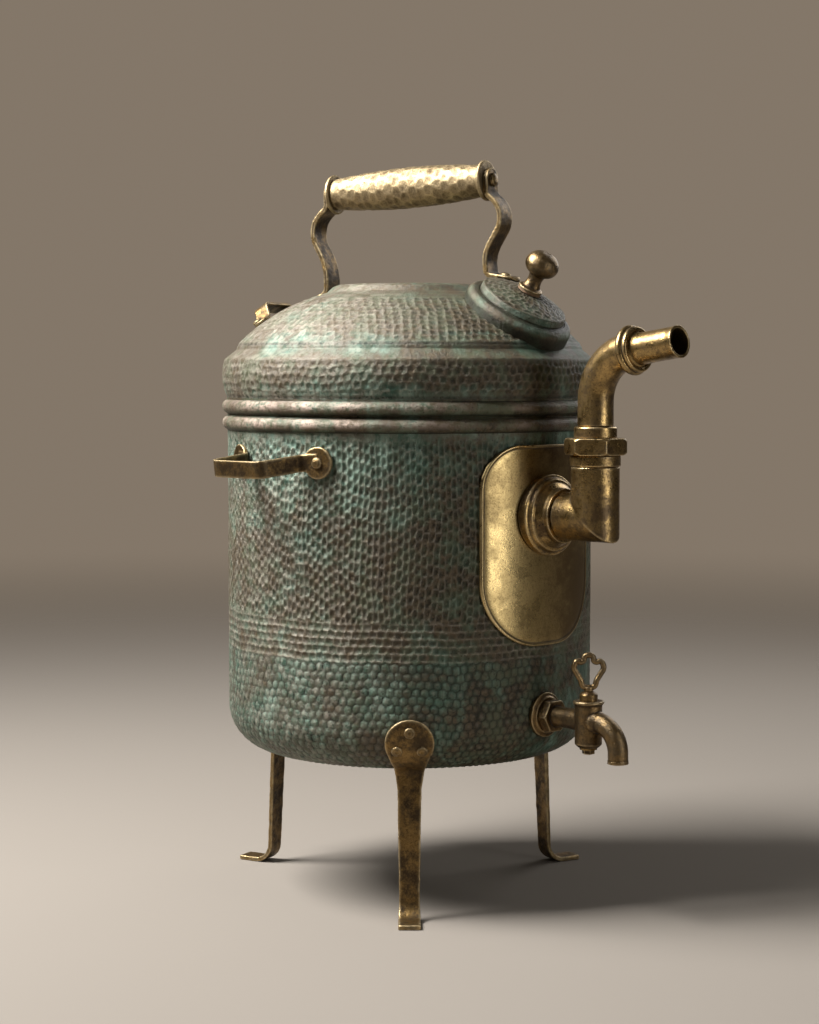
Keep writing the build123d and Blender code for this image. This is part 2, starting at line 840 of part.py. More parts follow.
def tap_key():
    """An open three-lobed ring of round bar that stands on the plug's cap."""
    foot = barrel_top + plug_cap_height
    path = key_side()
    section = Plane(origin=path @ 0, z_dir=path % 0) * Circle(key_bar_radius)
    half = sweep(section, path=path)
    ring = half + mirror(half, about=Plane.YZ)
    ring += disc(plug_cap_radius * 0.5, foot + film / 2, foot + key_bar_radius * 1.4)
    return Pos(0, -barrel_reach, 0) * Rot(0, 0, key_bearing) * ring


def plug_washer():
    high = barrel_bottom - free_gap
    washer = disc(plug_foot_radius + 0.8, high - plug_washer_sheet, high, plug_tail_radius + hole_play)
    return Pos(0, -barrel_reach, 0) * washer


def plug_nut():
    high = barrel_bottom - free_gap - plug_washer_sheet
    nut = hexagon(plug_nut_flats, high - plug_nut_height, high, plug_tail_radius + hole_play, 0.4)
    return Pos(0, -barrel_reach, 0) * nut


# Cover

def cover_outline(inset):
    """The cover's outer face, or its inner face when an inset is given."""
    foot = dome_point(dome_foot[0], -inset)
    head = dome_point(crown_foot[0], -inset)
    middle = dome_point((dome_foot[0] + crown_foot[0]) / 2, -inset)
    wall = drum_radius - inset
    lines = [
        Line(at(wall, seat_height), at(band_foot[0] - inset, band_foot[1])),
        ThreePointArc(
            at(band_foot[0] - inset, band_foot[1]),
            at(band_belly[0] - inset, band_belly[1]),
            at(band_top[0] - inset, band_top[1]),
        ),
        Polyline(
            at(band_top[0] - inset, band_top[1]),
            at(step_edge[0] - inset * 0.8, step_edge[1] - inset * 0.9),
            at(*foot),
        ),
        ThreePointArc(at(*foot), at(*middle), at(*head)),
        Polyline(
            at(*head),
            at(crown_radius + 2.0, crown_height - inset - 1.6),
            at(crown_radius - 2.0, crown_height - inset),
            at(0, crown_height - inset),
            at(0, seat_height),
            at(wall, seat_height),
        ),
    ]
    return spun(*lines)


def boss_crest():
    """Height of the middle of the boss's top."""
    return dome_height(boss_reach) + boss_height * cos(radians(boss_slope()))


def bail_foot(way):
    """The heel and the toe of a bail strap's middle line, as reach and height."""
    heel = eye_reach() + bail_heel_reach
    if way < 0:
        lift = film + bail_sheet / 2
        return (heel, dome_point(eye_reach(), lift)[1]), dome_point(bail_left_toe, lift - bail_left_sink)
    crest = boss_crest()
    return (heel, crest + bail_right_heel_rise), (bail_right_toe, crest + bail_right_toe_rise)


def bail_foot_places():
    """The two bail rivets: square on the dome, and on the right foot's middle."""
    left = on_dome(bail_bearing + 180, bail_left_rivet)
    heel, toe = bail_foot(1)
    drop = (heel[1] - toe[1]) / (toe[0] - heel[0])
    height = toe[1] + (toe[0] - bail_right_rivet) * drop
    right = Pos(0, -bail_right_rivet, height) * Rot(degrees(atan2(drop, 1)), 0, 0)
    return (left, 0), (Rot(0, 0, bail_bearing) * right, 0)


def loop_rivet_places():
    reach = hypot(loop_rivet_reach, loop_reach)
    turn = degrees(asin(loop_rivet_reach / reach))
    return [(on_dome(loop_bearing + way * turn, reach), 0) for way in (-1, 1)]


def cover_shell():
    """A raised copper lid with a banded shoulder, a dome and a flat crown."""
    shell = cover_outline(0) - cover_outline(sheet)
    skirt_radius = inner_radius - free_gap
    shell += disc(drum_radius, seat_height, seat_height + sheet, skirt_radius - sheet)
    shell += disc(skirt_radius, seat_height - skirt_depth, seat_height + sheet, skirt_radius - sheet)
    shell -= on_boss() * disc(stopper_radius + running_gap, -cut_margin, cut_margin)
    return shell - rivet_hole([bail_foot_places()[0]] + loop_rivet_places())


def boss_slope():
    return dome_slope(boss_reach)


def on_boss():
    """Where a piece turned about Z stands on the filler boss's axis."""
    return on_dome(boss_bearing, boss_reach)


def boss_form():
    """The boss's stepped outer form, still running down into the dome."""
    rim, step, wall = boss_radius, boss_groove_radius, boss_wall_height
    inner = (step - 2.5, wall + 1.9)
    return spun(
        Polyline(at(0, -boss_root), at(rim, -boss_root), at(rim, -1.0)),
        ThreePointArc(at(rim, -1.0), at(rim - 1.4, 3.2), at(rim - 4.6, 5.6)),
        Polyline(
            at(rim - 4.6, 5.6),
            at(step + 0.9, boss_groove_height + 0.5),
            at(step, boss_groove_height),
            at(step - 0.6, wall),
        ),
        ThreePointArc(at(step - 0.6, wall), at(step - 1.2, wall + 1.2), at(*inner)),
        ThreePointArc(
            at(*inner),
            at((inner[0] + boss_seat_radius) / 2, boss_height - 2.2),
            at(boss_seat_radius, boss_height),
        ),
        Polyline(at(boss_seat_radius, boss_height), at(0, boss_height), at(0, -boss_root)),
    )


def filler_boss():
    """The stepped copper boss round the filler hole, seated on the dome."""
    boss = on_boss() * (boss_form() - disc(stopper_radius + running_gap, -cut_margin, boss_height * 2))
    boss -= dome_blank(film)
    boss -= cover_outline(-film)
    depth = bail_sheet / 2 + bail_stud_depth + hole_play
    return boss - bail_foot_places()[1][0] * disc(rivet_radius + hole_play, -depth, depth)


def stopper_knob():
    """A turned brass knob on a spigot that plugs the filler hole."""
    low = boss_height + free_gap + washer_sheet
    top = boss_height + stopper_height
    ball = top - knob_height
    belly = ball + knob_height * 0.48
    knob = spun(
        Polyline(
            at(0, -stopper_tail),
            at(stopper_radius - 0.6, -stopper_tail),
            at(stopper_radius, -stopper_tail + 1.2),
            at(stopper_radius, low),
            at(stopper_ring_radius, low),
            at(stopper_ring_radius, low + 1.8),
            at(stopper_stem_radius + 1.4, low + 3.2),
        ),
        ThreePointArc(
            at(stopper_stem_radius + 1.4, low + 3.2),
            at(stopper_stem_radius, (low + 3.2 + ball) / 2),
            at(stopper_stem_radius + 1.0, ball),
        ),
        ThreePointArc(
            at(stopper_stem_radius + 1.0, ball),
            at(knob_radius * 0.87, ball + knob_height * 0.18),
            at(knob_radius, belly),
        ),
        ThreePointArc(at(knob_radius, belly), at(knob_radius * 0.74, ball + knob_height * 0.86), at(knob_crown, top)),
        Polyline(at(knob_crown, top), at(0, top), at(0, -stopper_tail)),
    )
    return on_boss() * knob


def stopper_washer():
    low = boss_height + free_gap
    return on_boss() * disc(stopper_ring_radius - 0.3, low, low + washer_sheet, stopper_radius + hole_play)


# Bail

def eye_reach():
    """Distance of a bail strap's middle from the bail's centre, at the rod."""
    return grip_length / 2 + free_gap + bail_sheet / 2


def bail_strap(way):
    """An S-bent strap from the rod's eye down to its riveted foot."""
    eye = eye_reach()
    rod, waist, bends = bail_right_rod, bail_right_waist, bail_right_bends
    if way < 0:
        rod, waist, bends = bail_left_rod, bail_left_waist, bail_left_bends
    heel, toe = bail_foot(way)
    points = (
        (eye, rod + bail_width / 2),
        (eye, rod - bail_shoulder_drop),
        (eye + bail_belly_reach, rod - bail_belly_drop),
        (eye - bail_waist_reach, rod - waist),
        heel,
        toe,
    )
    strap = extrude(strip(points, list(bends), bail_sheet), amount=bail_width / 2, both=True)
    strap &= strap_front(rod) & strap_plan(toe[0])
    turn = Rot(0, 0, bail_bearing + (180 if way < 0 else 0))
    strap = turn * strap - rod_place() * disc(rod_radius + hole_play, -grip_length, grip_length)
    if way < 0:
        strap -= dome_blank(film)
    else:
        strap -= on_boss() * Pos(0, 0, film) * boss_form()
    return strap - rivet_hole(bail_foot_places())


def strap_front(rod_height):
    """The strap's face with its round eye at the top."""
    low = floor_height
    face = Pos(0, (rod_height + low) / 2) * Rectangle(bail_width, rod_height - low)
    face += Pos(0, rod_height) * Circle(bail_width / 2)
    return extrude(Plane.XZ * face, amount=200)


def strap_plan(toe_reach_here):
    """The strap's plan with its round toe."""
    half = bail_width / 2
    face = Pos(0, -(toe_reach_here - half) / 2) * Rectangle(bail_width, toe_reach_here - half)
    face += Pos(0, -(toe_reach_here - half)) * Circle(half)
    return extrude(face, amount=600)


def bail_foot_rivets():
    left, right = bail_foot_places()
    face = bail_sheet / 2
    stud = disc(rivet_radius, -face - bail_stud_depth, face + 1)
    stud += domed_head(rivet_head_radius, rivet_head_height, face, 1)
    return [left[0] * rivet(-sheet, film + bail_sheet, dome_curve), right[0] * stud]


def rod_tilt():
    """Slope of the rod, whose right end is higher, in degrees."""
    return degrees(atan2(bail_right_rod - bail_left_rod, 2 * eye_reach()))


def rod_place():
    """The rod's middle, with local Z along it towards the boss."""
    middle = (bail_left_rod + bail_right_rod) / 2
    return Rot(0, 0, bail_bearing) * Pos(0, 0, middle) * Rot(90 - rod_tilt(), 0, 0)


def rod_half():
    """Half the rod's length, out to the straps' outer faces."""
    return (eye_reach() + bail_sheet / 2) / cos(radians(rod_tilt()))


def bail_rod():
    return rod_place() * disc(rod_radius, -rod_half(), rod_half())


def bail_rod_heads():
    """The peened heads that close the rod over both straps."""
    face = rod_half() + film
    return [
        rod_place() * domed_head(rod_head_radius, rod_head_height, way * face, way)
        for way in (-1, 1)
    ]


def grip_tube():
    """A hollow barrel grip, widest in the middle."""
    half = grip_length / 2 - grip_flange_sheet
    return rod_place() * spun(
        ThreePointArc(at(grip_end_radius, -half), at(grip_mid_radius, 0), at(grip_end_radius, half)),
        Line(at(grip_end_radius, half), at(grip_end_radius - grip_sheet, half)),
        ThreePointArc(
            at(grip_end_radius - grip_sheet, half),
            at(grip_mid_radius - grip_sheet, 0),
            at(grip_end_radius - grip_sheet, -half),
        ),
        Line(at(grip_end_radius - grip_sheet, -half), at(grip_end_radius, -half)),
    )


def grip_flange(way):
    """A flange that closes one end of the grip and turns on the rod."""
    inner = grip_length / 2 - grip_flange_sheet
    outer = grip_length / 2
    flange = disc(grip_flange_radius, inner, outer)
    flange = chamfer(flange.edges().filter_by(GeomType.CIRCLE), 0.9)
    flange += disc(grip_end_radius - grip_sheet - hole_play, inner - grip_spigot, inner + 1)
    flange -= disc(rod_radius + running_gap, 0, outer + 1)
    return rod_place() * (flange if way > 0 else Rot(180, 0, 0) * flange)


# Rear loop

def loop_floor(across):
    """Height of the strap's middle line on the dome, in the loop's own place."""
    drop = dome_height(loop_reach) - dome_height(hypot(across, loop_reach))
    return film + loop_sheet / 2 - drop * cos(radians(dome_slope(loop_reach)))


def rear_loop():
    """An arch of strap, square to the dome, with a riveted foot at each end."""
    points = [(loop_end, loop_floor(loop_end)), (loop_knee, loop_floor(loop_knee)), (loop_half, loop_rise)]
    points += [(-x, z) for x, z in reversed(points)]
    bends = [loop_knee_bend, loop_top_bend, loop_top_bend, loop_knee_bend]
    side_view = Plane.XZ * trace(FilletPolyline(*points, radius=bends), loop_sheet)
    strap = extrude(side_view, amount=loop_width / 2, both=True)
    strap &= extrude(SlotOverall(2 * loop_end, loop_width), amount=cut_margin, both=True)
    loop = on_dome(loop_bearing, loop_reach) * strap - dome_blank(film)
    return loop - rivet_hole(loop_rivet_places())


def rear_loop_rivets():
    face = film + loop_sheet + film
    return [place * rivet(-sheet, face, dome_curve - sheet) for place, _ in loop_rivet_places()]


def pieces():
    """Every node of the urn by name."""
    made = {
        "drum_shell": drum_shell(),
        "drum_rim_bead": rolled_bead(drum_height - bead_offset),
        "leg_rivets": leg_rivets(),
        "side_handle_rivets": side_handle_rivets(),
        "inlet_plate": inlet_plate(),
        "inlet_flange": inlet_flange(),
        "inlet_gasket": wall_gasket(inlet_height, inlet_gasket_radius, inlet_tail_radius),
        "inlet_backnut": backnut(inlet_height, inlet_nut_flats, inlet_tail_radius),
        "elbow": elbow(),
        "elbow_collar": elbow_collar(),
        "union_nut": union_nut(),
        "union_washer": union_washer(),
        "union_tail": union_tail(),
        "neck_ferrule": neck_ferrule(),
        "swan_neck": swan_neck(),
        "neck_ring": neck_ring(),
        "neck_outlet": neck_outlet(),
        "tap_rosette": tap_rosette(),
        "tap_gasket": wall_gasket(tap_height, tap_gasket_radius, tap_tail_radius),
        "tap_backnut": backnut(tap_height, tap_nut_flats, tap_tail_radius),
        "tap_body": tap_body(),
        "tap_plug": tap_plug(),
        "tap_key": tap_key(),
        "plug_washer": plug_washer(),
        "plug_nut": plug_nut(),
        "cover_shell": cover_shell(),
        "cover_bead": rolled_bead(drum_height + bead_offset),
        "filler_boss": filler_boss(),
        "stopper_knob": stopper_knob(),
        "stopper_washer": stopper_washer(),
        "bail_strap_left": bail_strap(-1),
        "bail_strap_right": bail_strap(1),
        "bail_foot_rivets": bail_foot_rivets(),
        "bail_rod": bail_rod(),
        "bail_rod_heads": bail_rod_heads(),
        "grip_tube": grip_tube(),
        "grip_flange_left": grip_flange(-1),
        "grip_flange_right": grip_flange(1),
        "rear_loop": rear_loop(),
        "rear_loop_rivets": rear_loop_rivets(),
    }
    for name, bearing in leg_bearings.items():
        made[name] = leg(bearing) - rivet_hole(leg_rivet_places())
    for name, bearing in handle_bearings.items():
        made[name] = side_handle(bearing)
    return made


os.makedirs("parts", exist_ok=True)
for name, shape in pieces().items():
    solid_group = Compound(children=list(shape)) if isinstance(shape, list) else shape
    export_step(solid_group, f"parts/{name}.step")
    print(name, "done")
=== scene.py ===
# %% [markdown]
# # Dressing a hammered copper drinks urn
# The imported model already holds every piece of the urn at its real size.
# What it lacks is what hands and weather did to it: the hammer's marks in the
# raised copper, the green and brown skin that grew on it, and the rubbed
# corners of the brass. This lesson adds those, one piece at a time, and every
# new mesh sits exactly where the piece it stands for sits.

# %% Open the frame
import json
from math import asin, cos, hypot, pi, radians, sin, sqrt

import bmesh
import bpy
import numpy as np
from mathutils import Matrix, Vector

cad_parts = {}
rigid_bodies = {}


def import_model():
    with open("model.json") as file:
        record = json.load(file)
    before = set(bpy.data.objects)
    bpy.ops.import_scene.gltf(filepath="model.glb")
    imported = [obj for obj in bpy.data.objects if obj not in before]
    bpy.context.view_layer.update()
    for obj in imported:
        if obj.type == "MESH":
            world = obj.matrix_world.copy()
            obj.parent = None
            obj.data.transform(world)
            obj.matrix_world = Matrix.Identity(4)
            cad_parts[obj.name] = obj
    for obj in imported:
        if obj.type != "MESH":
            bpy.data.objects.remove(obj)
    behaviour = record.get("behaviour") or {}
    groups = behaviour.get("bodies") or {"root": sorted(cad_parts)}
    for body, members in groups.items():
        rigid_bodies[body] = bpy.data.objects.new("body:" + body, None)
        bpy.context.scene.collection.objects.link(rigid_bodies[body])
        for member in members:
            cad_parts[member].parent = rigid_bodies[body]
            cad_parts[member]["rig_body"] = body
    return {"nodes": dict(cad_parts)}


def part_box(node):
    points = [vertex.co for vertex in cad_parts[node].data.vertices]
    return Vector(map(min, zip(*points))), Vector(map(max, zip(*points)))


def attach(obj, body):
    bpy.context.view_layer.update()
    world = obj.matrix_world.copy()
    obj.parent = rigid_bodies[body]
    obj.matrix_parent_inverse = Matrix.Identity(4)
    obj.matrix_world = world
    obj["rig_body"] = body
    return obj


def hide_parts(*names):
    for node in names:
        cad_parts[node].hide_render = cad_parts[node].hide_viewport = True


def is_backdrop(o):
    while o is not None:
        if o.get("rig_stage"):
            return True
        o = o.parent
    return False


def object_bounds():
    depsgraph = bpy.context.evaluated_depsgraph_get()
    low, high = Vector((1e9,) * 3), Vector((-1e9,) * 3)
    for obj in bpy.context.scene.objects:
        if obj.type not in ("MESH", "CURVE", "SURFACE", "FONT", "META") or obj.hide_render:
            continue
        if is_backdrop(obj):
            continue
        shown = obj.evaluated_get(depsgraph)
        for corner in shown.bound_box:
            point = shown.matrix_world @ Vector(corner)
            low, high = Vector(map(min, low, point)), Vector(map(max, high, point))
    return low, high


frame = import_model()
cad_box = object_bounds()


def in_scene(name, data):
    """A new object of some data in the scene."""
    made = bpy.data.objects.new(name, data)
    bpy.context.scene.collection.objects.link(made)
    return made

# %% [markdown]
# ## The camera
# A longish lens looks at the front leg from a little above the middle of the
# drum, and keeps the drum's sides nearly parallel. A bearing, a distance and a
# height are easier to check than a turn by eye: the front leg's toe and the
# top of the bail then fall where the picture has them.

# %% Camera
camera_bearing = radians(-45)
camera_distance = 1.740
camera_height = 0.301
camera_pitch = radians(3.74)

lens = bpy.data.cameras.new("long_lens")
lens.lens = 76.5
lens.sensor_width = 36.0
camera = in_scene("picture_camera", lens)
camera.location = (
    camera_distance * sin(camera_bearing),
    -camera_distance * cos(camera_bearing),
    camera_height,
)
camera.rotation_euler = (pi / 2 - camera_pitch, 0, camera_bearing)
bpy.context.scene.camera = camera
bpy.context.scene.view_settings.view_transform = "Standard"
print("Camera stands at", [round(c, 3) for c in camera.location])

# %% [markdown]
# ## Light and floor
# The urn is lit like a still life: one large soft window of light high on the
# left, a narrow card on the right that the brass plate mirrors, and a weak
# card behind for the far edges. Light that comes so far from the side grazes
# the hammer marks, so each shows a dark half and a bright one. The urn
# mirrors a dark room with a backdrop, since one that is bright all round
# would leave the brass flat and yellow. Only the camera sees the backdrop's
# colour on every side. The floor is a pale sheet that fades into it with
# distance, so no horizon line cuts the picture.

# %% Lamps, floor and backdrop
floor_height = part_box("leg_front")[0].z
floor_radius = 4.0
floor_fade = (0.7, 3.4)
floor_colour = (0.238, 0.210, 0.179)
backdrop_colour = (0.228, 0.184, 0.140)
room_colour = (0.026, 0.022, 0.018)
backdrop_edge = (0.76, 0.96)  # cosines of the angle from straight behind
lamp_aim = Vector((0, 0, 0.12))
toward_camera = Vector((sin(camera_bearing), -cos(camera_bearing), 0))
picture_right = Vector((cos(camera_bearing), sin(camera_bearing), 0))


def soft_lamp(name, right, near, height, size, watts):
    """A rectangular lamp placed as seen in the picture, facing the urn."""
    lamp = bpy.data.lights.new(name, "AREA")
    lamp.shape = "RECTANGLE"
    lamp.size, lamp.size_y = size
    lamp.energy = watts
    holder = in_scene(name, lamp)
    holder.location = picture_right * right + toward_camera * near + Vector((0, 0, height))
    holder.rotation_euler = (lamp_aim - holder.location).to_track_quat("-Z", "Y").to_euler()
    holder.visible_camera = False


def smooth_step(nodes, low, high):
    """A node that rises smoothly from 0 to 1 between two values."""
    step = nodes.new("ShaderNodeMapRange")
    step.interpolation_type = "SMOOTHSTEP"
    step.inputs["From Min"].default_value = low
    step.inputs["From Max"].default_value = high
    return step


def lit_room():
    """A world that lights as a dark room with a backdrop, and looks like the backdrop all round."""
    world = bpy.data.worlds.new("backdrop")
    world.use_nodes = True
    nodes, links = world.node_tree.nodes, world.node_tree.links
    look = nodes.new("ShaderNodeTexCoord")
    behind = nodes.new("ShaderNodeVectorMath")
    behind.operation = "DOT_PRODUCT"
    behind.inputs[1].default_value = -toward_camera
    share = smooth_step(nodes, *backdrop_edge)
    seen = nodes.new("ShaderNodeLightPath")
    either = nodes.new("ShaderNodeMath")
    either.operation = "MAXIMUM"
    blend = nodes.new("ShaderNodeMix")
    blend.data_type = "RGBA"
    blend.inputs[6].default_value = (*room_colour, 1)
    blend.inputs[7].default_value = (*backdrop_colour, 1)
    links.new(look.outputs["Generated"], behind.inputs[0])
    links.new(behind.outputs["Value"], share.inputs["Value"])
    links.new(share.outputs["Result"], either.inputs[0])
    links.new(seen.outputs["Is Camera Ray"], either.inputs[1])
    links.new(either.outputs["Value"], blend.inputs["Factor"])
    links.new(blend.outputs[2], nodes["Background"].inputs["Color"])
    return world


soft_lamp("window_light", right=-0.95, near=0.20, height=1.42, size=(0.80, 0.80), watts=88)
soft_lamp("right_card", right=0.95, near=0.80, height=0.32, size=(0.30, 0.8), watts=3.2)
soft_lamp("back_card", right=0.95, near=-1.00, height=0.90, size=(0.9, 0.9), watts=6)
bpy.context.scene.world = lit_room()


def floor_sheet():
    """A wide round sheet whose rim melts into the backdrop."""
    mesh = bpy.data.meshes.new("floor")
    sheet = bmesh.new()
    bmesh.ops.create_circle(sheet, cap_ends=True, radius=floor_radius, segments=96)
    sheet.to_mesh(mesh)
    sheet.free()
    floor = in_scene("floor", mesh)
    floor.location.z = floor_height - 0.0002
    paper = bpy.data.materials.new("floor_paper")
    paper.use_nodes = True
    nodes, links = paper.node_tree.nodes, paper.node_tree.links
    shader = nodes["Principled BSDF"]
    shader.inputs["Base Color"].default_value = (*floor_colour, 1)
    shader.inputs["Roughness"].default_value = 0.9
    shader.inputs["Specular IOR Level"].default_value = 0.1
    place = nodes.new("ShaderNodeTexCoord")
    reach = nodes.new("ShaderNodeVectorMath")
    reach.operation = "LENGTH"
    fade = smooth_step(nodes, *floor_fade)
    clear = nodes.new("ShaderNodeBsdfTransparent")
    blend = nodes.new("ShaderNodeMixShader")
    links.new(place.outputs["Object"], reach.inputs[0])
    links.new(reach.outputs["Value"], fade.inputs["Value"])
    links.new(fade.outputs["Result"], blend.inputs["Fac"])
    links.new(shader.outputs["BSDF"], blend.inputs[1])
    links.new(clear.outputs["BSDF"], blend.inputs[2])
    links.new(blend.outputs["Shader"], nodes["Material Output"].inputs["Surface"])
    mesh.materials.append(paper)
    floor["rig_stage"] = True
    return floor


print("Floor lies at", round(floor_sheet().location.z, 4))

# %% [markdown]
# ## Chance that repeats
# Hand work is uneven, but a script has to give the same urn each time. So
# chance here comes from whole numbers: the sine of a cell's number, cut to its
# fraction, looks random and never changes. Blending the eight corners of a
# cell gives a smooth unevenness of any size, for dents and worn places.

# %% Chance and unevenness
def chance(*cells):
    """A steady number from 0 to 1 for each whole-numbered cell."""
    mixed = sum(np.asarray(c, float) * k for c, k in zip(cells, (127.1, 311.7, 74.7, 19.3)))
    return np.modf(np.abs(np.sin(mixed) * 43758.5453))[0]


def unevenness(points, size, seed=0):
    """Smooth random values from -1 to 1 that change over a given size."""
    cell = np.floor(points / size)
    part = points / size - cell
    part = part * part * (3 - 2 * part)
    total = np.zeros(len(points))
    for corner in np.ndindex(2, 2, 2):
        weight = np.prod(np.where(corner, part, 1 - part), axis=1)
        near = cell + corner
        total += weight * chance(near[:, 0], near[:, 1], near[:, 2], seed)
    return 2 * total - 1


def eased(value, low, high):
    """0 below low, 1 above high and a smooth rise between them."""
    share = np.clip((value - low) / (high - low), 0, 1)
    return share * share * (3 - 2 * share)
def between(value, start, full, fading, gone):
    """1 from full to fading and 0 outside, with smooth edges."""
    return eased(value, start, full) * (1 - eased(value, fading, gone))


def stripe(value, middle, width):
    """1 on a line and 0 away from it."""
    return np.exp(-(((value - middle) / width) ** 2))


print("Chance of cell 1, 2, 3:", round(float(chance(1, 2, 3)), 4))

# %% [markdown]
# ## Hammer marks
# A smith raises copper in rings, one blow beside the last, and each blow
# leaves a shallow bowl. Where two bowls meet stands a ridge. The same pattern
# comes from asking each point of the surface for its nearest two blows: the
# difference of the two distances is 0 on a ridge and 1 in a bowl's middle. A
# bump texture would only fake it, so this number moves real vertices later.

# %% Marks along lanes
def marks(lane, place, shift, seed, lanes_round=None, stray=0.13):
    """0 on the ridges and 1 in the middles of hammer marks that lie in lanes.

    lane is each point's lane number with its fraction. place(lane) gives the
    point's position along it, counted in marks, and how many go once round,
    and shift(lane) where its first mark starts. A tone from 0 to 1 comes with
    them, the same all over one mark."""
    base = np.floor(lane)
    first = np.full(lane.shape, 9.0)
    second = np.full(lane.shape, 9.0)
    tone = np.zeros(lane.shape)
    for step in (-1, 0, 1):
        number = base + step
        key = number if lanes_round is None else np.mod(number, lanes_round)
        position, count = place(key)
        position = position - shift(key)
        for neighbour in (-1, 0, 1):
            mark = np.rint(position) + neighbour
            name = np.mod(mark, count)
            off_along = position - mark + stray * (2 * chance(name, key, seed) - 1)
            off_lane = lane - number - 0.5 + stray * (2 * chance(name, key, seed + 1) - 1)
            away = np.hypot(off_along, off_lane)
            second = np.minimum(second, np.maximum(first, away))
            tone = np.where(away < first, chance(name, key, seed + 2), tone)
            first = np.minimum(first, away)
    return np.clip(second - first, 0, 1), tone


def bowl(mark):
    """The depth of a round-bottomed mark, from 0 on its ridge to 1."""
    return 1 - (1 - mark) ** 2


def evenly(bearing, count):
    """The place of marks that lie evenly round an axis, a count of them to a lane."""
    return lambda lane: (bearing / (2 * pi) * count, count)


def bricks(slip, seed):
    """The shift of lanes that are laid like bricks, each a little out of line."""
    return lambda lane: 0.5 * np.mod(lane, 2) + slip * chance(lane, seed)


print("A bowl is", bowl(0.5), "deep half way in")

# %% [markdown]
# ## Spinning a section
# The drum, the cover, the beads and the boss are all round about an axis.
# Blender's Spin could turn an outline, but would lose sight of the hammer
# marks. Here the rings are laid one by one, so each vertex knows its bearing
# and its way along the section, and is pushed in by its own mark. Three numbers
# stay on it for the paint: dirt_and_shade, where dirt stays and shade is
# painted into hollows and under edges, rub_and_highlight, where hands and
# cloths polish and a highlight is painted on the lit side, and bloom, where
# damp turned the copper green.

# %% Sections and spun meshes
def run(start, end, step):
    """Points along a straight run, without its start."""
    count = max(1, round(hypot(end[0] - start[0], end[1] - start[1]) / step))
    return [tuple(np.array(start) + (np.array(end) - start) * i / count) for i in range(1, count + 1)]


def arc(start, middle, end, step):
    """Points along an arc through a middle point, without its start."""
    (ax, ay), (bx, by), (cx, cy) = start, middle, end
    d = 2 * (ax * (by - cy) + bx * (cy - ay) + cx * (ay - by))
    squares = ax * ax + ay * ay, bx * bx + by * by, cx * cx + cy * cy
    ux = (squares[0] * (by - cy) + squares[1] * (cy - ay) + squares[2] * (ay - by)) / d
    uy = (squares[0] * (cx - bx) + squares[1] * (ax - cx) + squares[2] * (bx - ax)) / d
    radius = hypot(ax - ux, ay - uy)
    angles = np.unwrap([np.arctan2(y - uy, x - ux) for x, y in (start, middle, end)])
    count = max(2, round(radius * abs(angles[2] - angles[0]) / step))
    turns = np.linspace(angles[0], angles[2], count + 1)[1:]
    return [(ux + radius * np.cos(t), uy + radius * np.sin(t)) for t in turns]


def section(start, *moves):
    """A section's points: each move is an end, or a middle and an end, and a step."""
    points = [start]
    for *ends, step in moves:
        points += (run if len(ends) == 1 else arc)(points[-1], *ends, step)
    return np.array(points, float)


def shown(mesh, name, notes):
    """An object of a smooth mesh, with a number on each vertex for every note."""
    mesh.polygons.foreach_set("use_smooth", np.ones(len(mesh.polygons), bool))
    for note, values in notes.items():
        mesh.attributes.new(note, "FLOAT", "POINT").data.foreach_set("value", values.astype(np.float32))
    return in_scene(name, mesh)


def solid(name, vertices, faces, **notes):
    """A smooth mesh object from its vertices, faces and notes."""
    mesh = bpy.data.meshes.new(name)
    mesh.from_pydata(vertices, [], faces)
    return shown(mesh, name, notes)


def spun(name, points, sides, relief, closed=False, place=Matrix.Identity(4)):
    """A section spun about the Z axis of a place, pushed in by its relief."""
    ahead = np.roll(points, -1, 0) - np.roll(points, 1, 0) if closed else np.gradient(points, axis=0)
    ahead /= np.maximum(np.hypot(*ahead.T), 1e-9)[:, None]
    travel = np.concatenate(([0], np.cumsum(np.hypot(*np.diff(points, axis=0).T))))
    bearing, along = np.meshgrid(np.arange(sides) * 2 * pi / sides, travel)
    height = np.repeat(points[:, 1:], sides, 1)
    push, *painted = relief(bearing, along, height)
    painted = dict(zip(("dirt_and_shade", "rub_and_highlight", "bloom"), painted))
    radius = points[:, :1] - ahead[:, 1:] * push
    height = height + ahead[:, :1] * push
    grid = np.stack((radius * np.sin(bearing), -radius * np.cos(bearing), height), 2)
    on_axis = points[:, 0] < 1e-6
    vertices, notes, index = [], {note: [] for note in painted}, np.zeros(bearing.shape, int)
    total = 0
    for ring, pole in enumerate(on_axis):
        take = slice(0, 1) if pole else slice(None)
        index[ring] = total if pole else total + np.arange(sides)
        vertices.append(grid[ring, take])
        for note, values in painted.items():
            notes[note].append(values[ring, take])
        total += len(vertices[-1])
    faces = []
    for low in range(len(points) - (0 if closed else 1)):
        high = (low + 1) % len(points)
        a, d = index[low], index[high]
        b, c = np.roll(a, -1), np.roll(d, -1)
        corners = (a, c, d) if on_axis[low] else (a, b, d) if on_axis[high] else (a, b, c, d)
        faces += np.stack(corners, 1).tolist()
    notes = {note: np.concatenate(values) for note, values in notes.items()}
    made = solid(name, np.concatenate(vertices).tolist(), faces, **notes)
    made.data.transform(place)
    return made


quarter = arc((0.109, 0), (0.1345, 0.0105), (0.145, 0.036), 0.0012)
print("A quarter of a 36 mm corner takes", len(quarter), "points")

# %% [markdown]
# ## Rubbing corners round
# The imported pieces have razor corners, and a highlight needs a small round to
# live on. A bevel would need clean edges, which a finely cut mesh hasn't got.
# So a copy is rebuilt in even squares by a voxel remesh, smoothing rubs its
# corners round, and a little unevenness gives the hand-made skin. The packed
# node stays as it is, and the copy stands for it.

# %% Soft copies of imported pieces
lump_size = 0.006
dirt_and_shade_gain, rub_gain = 14, 7


